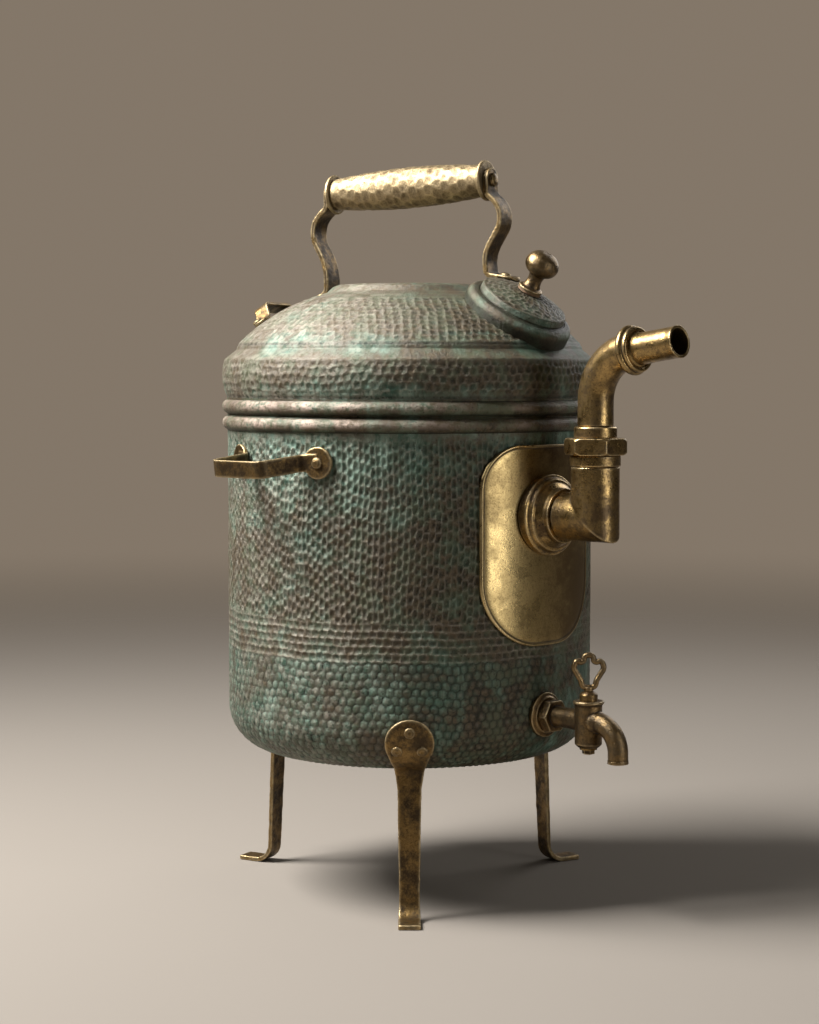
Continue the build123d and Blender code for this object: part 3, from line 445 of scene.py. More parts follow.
def corners_of(mesh, blur=4):
    """How far each vertex stands out of (above 0) or lies in (below 0) its surroundings."""
    total = len(mesh.vertices)
    points, normals = np.empty(total * 3), np.empty(total * 3, np.float32)
    mesh.vertices.foreach_get("co", points)
    mesh.vertices.foreach_get("normal", normals)
    points, normals = points.reshape(-1, 3), normals.reshape(-1, 3)
    ends = np.empty(len(mesh.edges) * 2, np.int32)
    mesh.edges.foreach_get("vertices", ends)
    a, b = ends.reshape(-1, 2).T
    away = points[b] - points[a]
    length = np.maximum(np.linalg.norm(away, axis=1), 1e-9)
    edges = np.maximum(np.bincount(a, minlength=total) + np.bincount(b, minlength=total), 1)
    out = np.bincount(a, -(away * normals[a]).sum(1) / length, total)
    out += np.bincount(b, (away * normals[b]).sum(1) / length, total)
    out /= edges
    for _ in range(blur):
        out = (out + (np.bincount(a, out[b], total) + np.bincount(b, out[a], total)) / edges) / 2
    return points, normals, out


def worked_copy(node, grain, rubs, lumps):
    """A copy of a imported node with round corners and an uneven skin."""
    shape = bmesh.new()
    shape.from_mesh(frame["nodes"][node].data)
    bmesh.ops.remove_doubles(shape, verts=shape.verts, dist=1e-6)
    rough = bpy.data.meshes.new(node + "_rough")
    shape.to_mesh(rough)
    shape.free()
    draft = in_scene(node + "_draft", rough)
    even = draft.modifiers.new("even_squares", "REMESH")
    even.mode = "VOXEL"
    even.voxel_size = grain
    rub_and_highlight = draft.modifiers.new("rubbed_corners", "SMOOTH")
    rub_and_highlight.factor, rub_and_highlight.iterations = 0.5, rubs
    mesh = bpy.data.meshes.new_from_object(draft.evaluated_get(bpy.context.evaluated_depsgraph_get()))
    bpy.data.objects.remove(draft)
    bpy.data.meshes.remove(rough)
    points, normals, out = corners_of(mesh)
    push = unevenness(points, lump_size, 3) + 0.5 * unevenness(points, lump_size * 0.4, 5)
    points = points + normals * (lumps * push / 1.5)[:, None]
    mesh.vertices.foreach_set("co", points.ravel())
    mesh.materials.clear()
    # Darker in hollows: dirt and painted shade. Paler on corners: rubbed metal.
    notes = {"dirt_and_shade": np.clip(-out * dirt_and_shade_gain, 0, 1), "rub_and_highlight": np.clip(out * rub_gain, 0, 1)}
    made = shown(mesh, node + "_worked", notes)
    mesh.update()
    return made


def dress(piece, node, paint):
    """The piece takes the node's place: it rides on the same body, in its finish."""
    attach(piece, frame["nodes"][node]["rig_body"])
    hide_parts(node)
    piece.data.materials.clear()
    piece.data.materials.append(paint)
    return piece


# %% [markdown]
# ## Coats of paint
# Each finish is built the way it grew: bare metal first, then the coats that
# time laid over it, each with its own spread. One small class keeps the node
# wiring out of the way, so that a finish reads as its coats. All patterns are
# laid in the piece's own space, in metres, so they stay put as parts move.

# %% Finishes from coats
class Finish:
    """A material that is built up from coats."""

    def __init__(self, name):
        self.material = bpy.data.materials.new(name)
        self.material.use_nodes = True
        self.nodes = self.material.node_tree.nodes
        self.links = self.material.node_tree.links
        self.shader = self.nodes["Principled BSDF"]
        self.place = self.nodes.new("ShaderNodeTexCoord").outputs["Object"]

    def put(self, socket, value):
        """Sets a socket: a constant stays on it, anything else is linked."""
        if isinstance(value, bpy.types.NodeSocket):
            self.links.new(value, socket)
        elif isinstance(value, tuple) and len(value) == 3 and socket.type == "RGBA":
            socket.default_value = (*value, 1)
        else:
            socket.default_value = value

    def node(self, kind, **inputs):
        """A new node with some of its sockets set."""
        made = self.nodes.new("ShaderNode" + kind)
        for name, value in inputs.items():
            self.put(made.inputs[name], value)
        return made

    def note(self, name):
        """A number that the mesh carries on its vertices."""
        node = self.node("Attribute")
        node.attribute_name = name
        return node.outputs["Fac"]

    def spread(self, size, detail, rough, stretch=(1, 1, 1)):
        """Cloudy noise of a size in metres, about 0.5 in the middle."""
        scaled = self.node("VectorMath")
        scaled.operation = "MULTIPLY"
        self.put(scaled.inputs[0], self.place)
        self.put(scaled.inputs[1], stretch)
        place = scaled.outputs["Vector"]
        noise = self.node("TexNoise", Vector=place, Scale=1 / size, Detail=detail, Roughness=rough)
        return noise.outputs["Fac"]

    def specks(self, size):
        """Distance from scattered points, in steps of a size in metres."""
        return self.node("TexVoronoi", Vector=self.place, Scale=1 / size).outputs["Distance"]

    def rise(self, value, low, high, to_low=0.0, to_high=1.0):
        """A smooth step of a value from one range to another."""
        node = smooth_step(self.nodes, low, high)
        for name, number in (("Value", value), ("To Min", to_low), ("To Max", to_high)):
            self.put(node.inputs[name], number)
        return node.outputs["Result"]

    def worked_out(self, operation, first, second):
        """Two values put together by an operation."""
        node = self.node("Math")
        node.operation = operation
        self.put(node.inputs[0], first)
        self.put(node.inputs[1], second)
        return node.outputs[0]

    def product(self, first, second):
        """One value times another."""
        return self.worked_out("MULTIPLY", first, second)

    def total(self, *weighted):
        """Values added up, each times its weight."""
        first, *others = [self.product(value, weight) for value, weight in weighted]
        for other in others:
            first = self.worked_out("ADD", first, other)
        return first

    def coats(self, under, *layers):
        """Colours laid over the first one, each where its share times its strength is high."""
        for colour, share, strength in layers:
            node = self.node("Mix", Factor=self.product(share, strength))
            node.data_type = "RGBA"
            self.put(node.inputs[6], under)
            self.put(node.inputs[7], colour)
            under = node.outputs[2]
        return under

    def surface(self, relief, relief_height, **sockets):
        """Hands the coats to the shader. relief is a fine bump of a height in metres."""
        for name, value in sockets.items():
            self.put(self.shader.inputs[name.replace("_", " ")], value)
        node = self.node("Bump", Height=relief, Distance=relief_height)
        self.links.new(node.outputs["Normal"], self.shader.inputs["Normal"])
        return self.material


# %% [markdown]
# ## Copper under its patina
# Old copper outdoors goes brown first and then green, and the green settles
# unevenly: pale powder in the bowls of the hammer marks, near black at their
# feet, where dirt sits and shade is painted in, and warm bare metal on the
# ridges that a cloth can reach. Large clouds decide where green or brown wins,
# small ones break their edges, and the dirt_and_shade and rub_and_highlight
# numbers put the dark and the bare metal where the shape asks. Bare metal is
# also painted on the side facing the window light, as a painted highlight.

# %% Patinated copper
def patinated_copper(name, green, bare):
    """Brown copper with green bloom; green is how much of it is covered, bare the metal's colour."""
    paint = Finish(name)
    dirt_and_shade, rub_and_highlight, bloom = map(paint.note, ("dirt_and_shade", "rub_and_highlight", "bloom"))
    broad = paint.spread(0.075, 5, 0.6)
    patches = paint.spread(0.020, 6, 0.68)
    bits = paint.spread(0.0052, 5, 0.72)
    fine = paint.spread(0.0018, 4, 0.7)
    runs = paint.spread(0.010, 5, 0.66, (1, 1, 0.24))
    damp = paint.total((broad, 0.50), (patches, 0.50), (bloom, 0.20))
    teal = paint.rise(damp, 0.60 - 0.2 * green, 0.84 - 0.2 * green)
    powder = paint.product(paint.rise(runs, 0.44, 0.62), paint.rise(damp, 0.52, 0.74))
    worn = paint.product(rub_and_highlight, paint.rise(bits, 0.38, 0.58))
    specks = paint.rise(paint.specks(0.0042), 0.10, 0.22, 0.5, 0.0)
    colour = paint.coats(
        (0.108, 0.080, 0.047),  # brown
        ((0.032, 0.026, 0.014), paint.rise(bits, 0.40, 0.60), 1.0),  # dark brown
        ((0.088, 0.098, 0.056), paint.rise(patches, 0.42, 0.58), 0.80),  # grey green
        ((0.046, 0.108, 0.077), teal, 0.85),
        ((0.23, 0.33, 0.26), powder, 0.65),
        # near black in hollows: dirt and painted shade
        ((0.012, 0.013, 0.008), dirt_and_shade, paint.rise(bits, 0.25, 0.6, 1.0, 0.6)),
        # bare metal where rubbed, and painted highlight on the lit side and the beads' tops
        (bare, worn, 0.75),
        ((0.016, 0.014, 0.009), specks, 1.0),
    )
    return paint.surface(
        relief=paint.total((fine, 1.0), (bits, 1.2)), relief_height=0.00075, Base_Color=colour,
        Specular_IOR_Level=0.35, Roughness=paint.rise(patches, 0.3, 0.7, 0.36, 0.52),
        Metallic=paint.rise(worn, 0.0, 1.0, 0.30, 0.40),
    )


copper = patinated_copper("hammered_copper_patina", 0.5, (0.45, 0.39, 0.31))
bead_copper = patinated_copper("rolled_bead_patina", 0.25, (0.42, 0.32, 0.255))
print("Copper finishes:", copper.name, bead_copper.name)

# %% [markdown]
# ## One brass, five finishes
# The pipes, the straps and the tap are the same brass, tarnished brown and
# speckled, the tap most of all, with pale gold where corners were rubbed.
# The wrapped plate was polished and is only stained, and painted darker
# towards its right as shade and dark reflection. The grip is bright on its
# hammered faces and brown between them. One function lays the coats, and a
# row of numbers for each finish says how far the tarnish went.

# %% Aged, polished and hammered brass
def tarnished_brass(name, gold, tarnish, cover, cloud, smooth, speckle, edge, skin):
    """Gold metal under a brown tarnish; cover is how much of it is hidden."""
    paint = Finish(name)
    dirt_and_shade, rub_and_highlight, painted_shade_right = map(paint.note, ("dirt_and_shade", "rub_and_highlight", "bloom"))
    broad = paint.spread(cloud * 3, 4, 0.6)
    clouds = paint.spread(cloud, 6, 0.70)
    blots = paint.spread(cloud * 0.3, 5, 0.72)
    fine = paint.spread(0.0012, 3, 0.6)
    # On the plate the bloom note darkens the tarnish towards the right, as painted shade and dark reflection.
    veil = paint.total((clouds, 0.5), (broad, 0.3), (blots, 0.2), (painted_shade_right, 0.25))
    middle = 0.64 - 0.2 * cover
    brown = paint.rise(veil, middle - edge / 2, middle + edge / 2)
    pits = paint.rise(paint.specks(0.0030), 0.12, 0.26, speckle, 0.0)
    colour = paint.coats(
        gold,
        (tarnish, brown, 0.95),
        (tarnish, paint.rise(fine, 0.46, 0.70), 0.55),
        ((0.020, 0.012, 0.005), pits, paint.rise(clouds, 0.42, 0.6)),
        # near black in hollows: dirt and painted shade
        ((0.018, 0.011, 0.005), dirt_and_shade, 0.9),
        ((0.70, 0.54, 0.30), rub_and_highlight, paint.rise(blots, 0.35, 0.6, 0.3, 0.75)),  # rubbed corners
    )
    matt = paint.rise(veil, 0.35, 0.65, smooth, smooth + 0.18)
    return paint.surface(
        relief=paint.total((fine, 0.5), (blots, 1.1), (pits, -0.35)), relief_height=skin, Base_Color=colour,
        Roughness=paint.total((matt, 1.0), (dirt_and_shade, 0.25)),
        Metallic=paint.product(paint.rise(brown, 0.0, 1.0, 1.0, 0.72), paint.rise(dirt_and_shade, 0.2, 1.0, 1.0, 0.4)),
    )


brass = {row[0]: tarnished_brass(*row) for row in (
    # name, gold, tarnish, cover, cloud, smooth, speckle, edge, skin
    ("aged_brass", (0.45, 0.298, 0.115), (0.058, 0.032, 0.012), 0.68, 0.017, 0.23, 1.0, 0.16, 0.00018),
    ("tap_bronze", (0.22, 0.140, 0.060), (0.040, 0.024, 0.010), 0.70, 0.009, 0.26, 0.8, 0.16, 0.00030),
    ("strap_brass", (0.24, 0.150, 0.056), (0.030, 0.017, 0.006), 0.74, 0.010, 0.34, 0.8, 0.16, 0.00030),
    ("plate_brass", (0.46, 0.338, 0.148), (0.11, 0.066, 0.022), 0.22, 0.018, 0.22, 0.25, 0.36, 0.00009),
    ("grip_brass", (0.38, 0.290, 0.165), (0.11, 0.070, 0.030), 0.54, 0.010, 0.42, 0.5, 0.16, 0.00030),
)}
print("Brass finishes:", *brass)

# %% [markdown]
# ## Leather washers
# The gaskets are cut from hide: brown, matt and a little wrinkled. They show
# only to whoever takes the fittings off.

# %% Leather
def washer_hide():
    """Brown leather with a fine crumpled grain."""
    paint = Finish("washer_leather")
    grain = paint.spread(0.0016, 4, 0.7)
    colour = paint.coats((0.10, 0.055, 0.028), ((0.19, 0.11, 0.055), paint.rise(grain, 0.35, 0.65), 1.0))
    return paint.surface(relief=grain, relief_height=0.0002, Base_Color=colour, Roughness=0.75)


leather = washer_hide()
print("Washers are", leather.name)

# %% [markdown]
# ## The drum
# The drum is one raised sheet. Its lower third and its round corner carry
# round blows in rings, so close that they stand out like cobbles between
# sunk seams. Above them run five rows of square bowls between chased lines,
# and the wall over those was struck with a narrow hammer in long upright
# columns that wander a little. Near the rolled bead the marks die out,
# because the bead gets in the hammer's way.

# %% Hammered drum
drum_radius, _, drum_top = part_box("drum_shell")[1]
sheet = 0.0015
corner_radius = 0.036
corner_start = drum_radius - corner_radius
chased_low, chased_high = 0.0850, 0.1132
chased_rows = 5
row_height = (chased_high - chased_low) / chased_rows
round_blow = 0.0066
column_width = 0.00437
column_blow = 0.0082
fade_out = (0.2440, 0.2530)
seam_depth, bowl_depth, line_depth, column_depth = 0.00080, 0.00085, 0.00035, 0.00140
drum_sides = 1500


def lit_side_share(bearing):
    """1 on the side facing the window light, at the picture's left, and 0 opposite, where light is painted.
    """
    return eased(-np.sin(bearing + radians(15)), 0.3, 1.0)


def drum_relief(bearing, travel, height):
    """Pushes the drum's outer face in by its hammer marks."""
    round_axis = evenly(bearing, round(2 * pi * drum_radius / round_blow))
    wander = 0.14 * np.sin(9 * bearing) + 0.10 * np.sin(23 * bearing + 2)
    ring, ring_tone = marks(travel / (round_blow * 0.92) + wander, round_axis, bricks(0.1, 4), 11)
    row = (height - chased_low) / row_height + wander * 0.5
    square, square_tone = marks(row, round_axis, lambda n: chance(n, 7), 21, stray=0.08)
    columns = round(2 * pi * drum_radius / column_width)
    lean = 0.40 * np.sin(height * 38 + 4 * bearing) + 0.10 * np.sin(height * 130 + 11 * bearing)
    column, column_tone = marks(bearing / (2 * pi) * columns + lean, lambda n: (height / column_blow, 1e6),
                                lambda n: chance(n, 9), 31, columns, 0.09)
    chased = stripe((row - np.rint(row)) * row_height, 0, 0.0007)
    low = 1 - eased(height, chased_low - 0.0012, chased_low + 0.0004)
    high = eased(height, chased_high - 0.0006, chased_high + 0.0010)
    middle = (1 - low) * (1 - high)
    outside = eased(travel, corner_start - 0.035, corner_start - 0.015)
    outside *= travel < corner_start + corner_radius * pi / 2 + drum_top - corner_radius - 0.001
    fade = 1 - eased(height, *fade_out)
    worn = 1 - 0.65 * eased(np.cos(bearing - radians(28)), 0.80, 0.97)
    push = middle * (bowl_depth * bowl(square) + line_depth * (1 - chased))
    push = (low * seam_depth * (1 - bowl(ring)) + push + high * fade * column_depth * bowl(column)) * worn
    dents = np.sin(3 * bearing + 1) * np.sin(height * 31)
    dents += 0.6 * np.sin(7 * bearing) * np.sin(height * 53 + 2)
    push += 0.00015 + 0.00008 * dents
    mark = middle * square + high * column
    tone = low * ring_tone + middle * square_tone + high * column_tone
    struck = middle + high * fade
    # Darker sunk seams between the cobbles and darker bowls: dirt and painted shade.
    dirt_and_shade = low * (1 - eased(ring, 0.05, 0.30)) * 0.9 + struck * eased(mark, 0.25, 0.8) * 0.45
    dirt_and_shade += (low + struck) * 0.35 * eased(tone, 0.45, 1.0)
    rub_and_highlight = struck * (1 - eased(mark, 0.04, 0.24)) * (0.10 + 0.30 * tone) + middle * chased * 0.35
    rub_and_highlight += low * eased(ring, 0.35, 0.8) * 0.25 * tone + high * (1 - fade) * 0.20
    # Painted light: the side facing the window light is paled with bare metal and pale green bloom.
    rub_and_highlight += 0.45 * lit_side_share(bearing) * (0.3 + 0.7 * tone)
    bloom = 0.75 * eased(height, 0.185, 0.245) + 0.6 * eased(np.sin(bearing - radians(12)), 0.45, 0.9)
    bloom += 0.3 * lit_side_share(bearing) + 0.35 * low + 0.3 * (tone - 0.5)
    return push * outside, dirt_and_shade * outside * worn, rub_and_highlight * outside * worn, np.clip(bloom, 0, 1) * outside


def drum_section():
    """The drum's whole section, out along its underside and back inside."""
    inner, curve = drum_radius - sheet, corner_radius - sheet
    centre = corner_start
    heel = sqrt(0.5)
    return section(
        (0, 0),
        ((centre - 0.036, 0), 0.009),
        ((centre, 0), 0.002),
        ((centre + corner_radius * heel, corner_radius * (1 - heel)), (drum_radius, corner_radius), 0.00125),
        ((drum_radius, chased_high), 0.00095),
        ((drum_radius, drum_top - 0.0004), 0.00130),
        ((drum_radius - sheet / 2, drum_top), 0.0005),
        ((inner, drum_top - 0.0004), 0.0005),
        ((inner, corner_radius), 0.018),
        ((centre + curve * heel, corner_radius - curve * heel), (centre, sheet), 0.009),
        ((0, sheet), 0.03),
    )


drum = spun("hammered_drum", drum_section(), drum_sides, drum_relief)
dress(drum, "drum_shell", copper)
print("Drum has", len(drum.data.vertices), "vertices")

# %% [markdown]
# ## The cover
# The cover was raised like the drum: a bulging band with brick-laid round
# blows, a smooth shoulder, a sharp step, and a dome whose rings of blows hold
# fewer marks the nearer they are to the crown. Counting the marks ring by
# ring keeps them the same size on the way up. Under the crown three shallow
# ridges run round, left by the stake that it was set down on.

# %% Hammered cover
cover_low, cover_high = (corner.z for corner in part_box("cover_shell"))
seat_height = drum_top + 0.0004
band_foot = (0.1452, 0.2800)
band_belly = (0.1492, 0.2960)
band_top = (0.1470, 0.3095)
step_edge = (0.1376, 0.3168)
dome_foot = (0.1368, 0.3210)
crown_foot = (0.0660, 0.3620)
crown_radius = 0.0590
dome_curve = 0.1460
cover_blow = 0.0066
cover_pitch = cover_blow * 0.93
band_depth, dome_depth, crown_depth = 0.00105, 0.00088, 0.00020


def dome_centre():
    """The centre of the dome's arc in its section."""
    (r0, z0), (r1, z1) = dome_foot, crown_foot
    half = hypot(r1 - r0, z1 - z0) / 2
    away = sqrt(dome_curve**2 - half**2)
    run_share, rise_share = (r1 - r0) / (2 * half), (z1 - z0) / (2 * half)
    return (r0 + r1) / 2 - away * rise_share, (z0 + z1) / 2 + away * run_share


def dome_height(radius):
    """Height of the dome's outer face at a radius."""
    r, z = dome_centre()
    return z + sqrt(dome_curve**2 - (radius - r) ** 2)


def cover_section():
    """The cover's section: underneath, skirt, band, dome and crown, then back inside."""
    skirt = drum_radius - sheet - 0.0004
    wall = drum_radius - sheet
    middle = (dome_foot[0] + crown_foot[0]) / 2
    inside = [
        (crown_foot[0] - 0.0008, crown_foot[1] - sheet),
        (middle - 0.0007, dome_height(middle) - sheet),
        (dome_foot[0] - 0.0012, dome_foot[1] - 0.0009),
    ]
    return section(
        (0, cover_high - sheet),
        ((crown_radius, cover_high - sheet), 0.03),
        (inside[0], 0.01),
        (inside[1], inside[2], 0.012),
        ((step_edge[0] - 0.0012, step_edge[1] - 0.0013), 0.01),
        ((band_top[0] - sheet, band_top[1] - 0.001), 0.01),
        ((band_belly[0] - sheet, band_belly[1]), (band_foot[0] - sheet, band_foot[1]), 0.01),
        ((wall, seat_height + sheet), 0.01),
        ((skirt - sheet, seat_height + sheet), 0.001),
        ((skirt - sheet, cover_low), 0.008),
        ((skirt, cover_low), 0.0008),
        ((skirt, seat_height), 0.008),
        ((drum_radius, seat_height), 0.001),
        (band_foot, 0.0016),
        (band_belly, band_top, 0.00115),
        (step_edge, 0.0012),
        (dome_foot, 0.0008),
        ((middle, dome_height(middle)), crown_foot, 0.00118),
        ((crown_radius + 0.002, cover_high - 0.0016), 0.0008),
        ((crown_radius - 0.002, cover_high), 0.0008),
        ((0, cover_high), 0.0042),
    )


cover_points = cover_section()
cover_travel = np.concatenate(([0], np.cumsum(np.hypot(*np.diff(cover_points, axis=0).T))))
at_foot = np.isclose(cover_points[:, 1], band_foot[1]) & (cover_points[:, 0] > 0.145)
outer_start = cover_travel[np.argmax(at_foot)]
cover_rings = int((cover_travel[-1] - outer_start) / cover_pitch) + 3
ring_travel = outer_start + (np.arange(cover_rings) + 0.5) * cover_pitch
ring_radii = np.interp(ring_travel, cover_travel, cover_points[:, 0])
ring_counts = np.maximum(6, np.rint(2 * pi * ring_radii / cover_blow))


def cover_relief(bearing, travel, height):
    """Pushes the cover's outer face in by its rings of blows."""
    def place(ring):
        return evenly(bearing, ring_counts[np.clip(ring, 0, cover_rings - 1).astype(int)])(ring)

    lane = (travel - outer_start) / cover_pitch + 0.13 * np.sin(8 * bearing) + 0.1 * np.sin(19 * bearing)
    mark, tone = marks(lane, place, bricks(0.12, 5), 41)
    outside = travel >= outer_start - 1e-6
    radius = np.interp(travel, cover_travel, cover_points[:, 0])
    on_band = between(height, band_foot[1] + 0.002, band_foot[1] + 0.005, 0.3045, 0.3085)
    on_dome = between(height, dome_foot[1] + 0.0008, dome_foot[1] + 0.0030, 0.3535, 0.3575)
    on_crown = (1 - eased(radius, crown_radius - 0.012, crown_radius - 0.006)) * (height > 0.36)
    near_foot = height < 0.33
    ridges = 0.5 + 0.5 * np.cos((height - 0.3550) / 0.0026 * 2 * pi)
    ridges *= between(height, 0.3535, 0.3555, 0.3615, 0.3625)
    groove = stripe(height, dome_foot[1] - 0.0002, 0.0010) * near_foot
    push = (band_depth * on_band + dome_depth * on_dome + crown_depth * on_crown) * bowl(mark)
    dents = np.sin(3 * bearing + 2) * np.sin(travel * 40)
    dents += 0.5 * np.sin(8 * bearing) * np.sin(travel * 70 + 1)
    push += 0.0003 * ridges + 0.0008 * groove + 0.00018 + 0.00010 * dents
    struck = np.maximum(on_band, on_dome)
    # Painted light: on the side facing the window light the hollows stay paler and bare metal is painted.
    lit_side = lit_side_share(bearing)
    dirt_and_shade = struck * (eased(mark, 0.25, 0.8) * 0.48 + 0.45 * eased(tone, 0.4, 0.9)) * (1 - lit_side)
    # Painted shade, with some dirt: the groove at the dome's foot, the stake's grooves and the seat line at
    # the band's foot are darkened.
    dirt_and_shade += groove * 1.3 + ridges * 0.4 + stripe(height, band_foot[1], 0.0016)
    rub_and_highlight = struck * (1 - eased(mark, 0.05, 0.28)) * (0.12 + 0.36 * tone) + 0.12 * (1 - struck) + 0.04 * on_dome
    rub_and_highlight += 0.48 * lit_side * (0.5 + 0.5 * tone)
    bloom = 0.6 * (1 - eased(height, 0.284, 0.296)) + 0.5 * eased(height, 0.308, 0.316) * near_foot
    bloom = np.clip(bloom + 0.6 * (tone - 0.5) * struck, 0, 1)
    return push * outside, np.clip(dirt_and_shade, 0, 1) * outside, rub_and_highlight * outside, bloom * outside


cover = spun("hammered_cover", cover_points, 800, cover_relief)
dress(cover, "cover_shell", copper)
print("Cover has", len(cover.data.vertices), "vertices in", cover_rings, "rings of blows")

# %% [markdown]
# ## The rolled beads
# Drum and cover each end in a half-round bead that was rolled over a wire. It
# is slightly flat in places and nicked by use. The wave along it is under half
# a millimetre, yet it breaks the highlight up into a lively line.

# %% Beads
def bead_relief(bearing, travel, height):
    """Waves and nicks along a rolled bead, with painted shade under it and painted highlight on it."""
    wave = np.sin(11 * bearing + 1) + 0.7 * np.sin(29 * bearing) + 0.5 * np.sin(53 * bearing + travel * 300)
    nick = eased(np.sin(37 * bearing + 3 * np.sin(5 * bearing)) * np.sin(travel * 420), 0.80, 0.99)
    push = 0.00022 + 0.00009 * wave + 0.0003 * nick
    share = travel / travel.max()
    highlight_band = between(share, 0.14, 0.34, 0.56, 0.66)
    patchy = 0.55 + 0.45 * np.sin(17 * bearing + 2 * np.sin(5 * bearing))
    # Painted shade darkens the bead's lower side and underneath, with dirt in the nicks. A painted highlight,
    # partly rubbed metal, lies along its outer face and top, paler on the lit side.
    dirt_and_shade = 1 - eased(share, 0.03, 0.17) + eased(share, 0.60, 0.67) + 0.4 * nick
    lit_side = lit_side_share(bearing)
    rub_and_highlight = highlight_band * patchy * (0.5 + 0.4 * lit_side) + 0.4 * lit_side * eased(share, 0.10, 0.25)
    return push, np.clip(dirt_and_shade, 0, 1), rub_and_highlight, 0.3 + 0 * push


def rolled_bead(node):
    """A half-round bead in its node's place."""
    low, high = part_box(node)
    middle = (low.z + high.z) / 2
    root = drum_radius + 0.0002
    points = section((root, low.z), ((high.x, middle), (root, high.z), 0.0007), ((root, low.z), 0.004))
    return spun(node.replace("_bead", "_rolled_edge"), points[:-1], 420, bead_relief, closed=True)


for node in ("drum_rim_bead", "cover_bead"):
    bead = dress(rolled_bead(node), node, bead_copper)
    print(bead.name, "has", len(bead.data.vertices), "vertices")

# %% [markdown]
# ## The boss on the shoulder
# A stepped boss carries the filler hole. It is spun about its own tilted axis
# and set down on the dome: a fat outer ring with a round shoulder, a groove,
# a short upright wall and a low hammered dome with the hole in its middle.

# %% Filler boss
boss_bearing = radians(6.5)
boss_reach = drum_radius - 0.038
boss_radius = 0.0435
boss_height = 0.018
boss_hole = 0.00708
boss_foot = -0.009
groove_radius, groove_height = 0.0353, 0.0058
wall_top = 0.0102
boss_blow, boss_blows_round = 0.0042, 26


def stood_on_dome(bearing, reach):
    """The place of a piece turned about Z that stands square on the dome."""
    tilt = asin((reach - dome_centre()[0]) / dome_curve)
    return (Matrix.Rotation(bearing, 4, "Z") @ Matrix.Translation((0, -reach, dome_height(reach)))
            @ Matrix.Rotation(tilt, 4, "X"))


def boss_relief(bearing, travel, height):
    """Blows in curved rows on the boss's domed top and dents on its rings."""
    swirl = 0.5 * np.sin(bearing * 3 + 1)
    mark, tone = marks(travel / boss_blow + swirl, evenly(bearing, boss_blows_round),
                       lambda n: chance(n, 3), 61, stray=0.22)
    top = eased(height, wall_top + 0.0012, wall_top + 0.0024)
    groove = stripe(height, groove_height, 0.0008)
    wall = between(height, groove_height + 0.0006, groove_height + 0.0014, wall_top, wall_top + 0.0014)
    ring = between(height, 0.000, 0.003, groove_height - 0.001, groove_height + 0.0004)
    foot = 1 - eased(height, -0.002, 0.002)
    dents = np.sin(5 * bearing) + 0.7 * np.sin(12 * bearing + travel * 260)
    push = top * 0.00050 * bowl(mark) + 0.0002 + 0.00009 * dents
    # Painted shade, with some dirt: the groove and the foot on the dome are darkened, the top's hollows less.
    dirt_and_shade = 0.22 + top * (eased(mark, 0.35, 0.9) * 0.35 + 0.3 * tone) + groove + foot * 0.8
    rub_and_highlight = top * (1 - eased(mark, 0.05, 0.3)) * 0.45 + ring * 0.15 + wall * 0.25
    return push, np.clip(dirt_and_shade, 0, 1), rub_and_highlight, 0.7 * wall + 0.4 * ring


boss_points = section(
    (boss_hole, boss_foot),
    ((boss_radius - 0.012, boss_foot), 0.004),
    ((boss_radius, -0.0140), 0.004),
    ((boss_radius, -0.0010), 0.0009),
    ((boss_radius - 0.0014, 0.0032), (boss_radius - 0.0046, 0.0056), 0.0008),
    ((boss_radius - 0.0073, 0.0063), 0.0006),
    ((groove_radius, groove_height), 0.0004),
    ((groove_radius - 0.0006, wall_top), 0.0005),
    ((groove_radius - 0.0012, wall_top + 0.0012), (groove_radius - 0.0025, wall_top + 0.0019), 0.0004),
    ((0.0219, 0.0158), (0.0110, boss_height), 0.0010),
    ((boss_hole + 0.0006, boss_height), 0.0012),
    ((boss_hole, boss_height - 0.0006), 0.0006),
    ((boss_hole, boss_foot + 0.001), 0.004),
)
boss_place = stood_on_dome(boss_bearing, boss_reach)
boss = spun("stepped_boss", boss_points, 320, boss_relief, closed=True, place=boss_place)
dress(boss, "filler_boss", copper)
print("Boss has", len(boss.data.vertices), "vertices")

# %% [markdown]
# ## The wrapped brass plate
# A thick brass plate lies round the inlet, wrapped on the wall. Its corners
# are wide rounds, and its border is turned up into a thin bright rim with a
# dark line of painted shade inside it. Its tarnish is painted darker towards
# its right, as shade and dark reflection. The plate is laid as rings along its
# outline: close ones for the rim, and others that shrink to the plain middle.

# %% Inlet plate
plate_low, plate_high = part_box("inlet_plate")
plate_half = plate_high.x
plate_top_corner, plate_bottom_corner = 0.033, 0.050
plate_border = 0.008
plate_lift = 0.0019
film = 0.0002


def plate_outline(inset, step=0.0015):
    """The plate's outline seen from the front, a distance inside its border."""
    half, low, high = plate_half - inset, plate_low.z + inset, plate_high.z - inset
    top, bottom = plate_top_corner - inset, plate_bottom_corner - inset
    heel = 1 - sqrt(0.5)
    return section(
        (0, low),
        ((half - bottom, low), step),
        ((half - bottom * heel, low + bottom * heel), (half, low + bottom), step),
        ((half, high - top), step),
        ((half - top * heel, high - top * heel), (half - top, high), step),
        ((-half + top, high), step),
        ((-half + top * heel, high - top * heel), (-half, high - top), step),
        ((-half, low + bottom), step),
        ((-half + bottom * heel, low + bottom * heel), (-half + bottom, low), step),
        ((-step, low), step),
    )


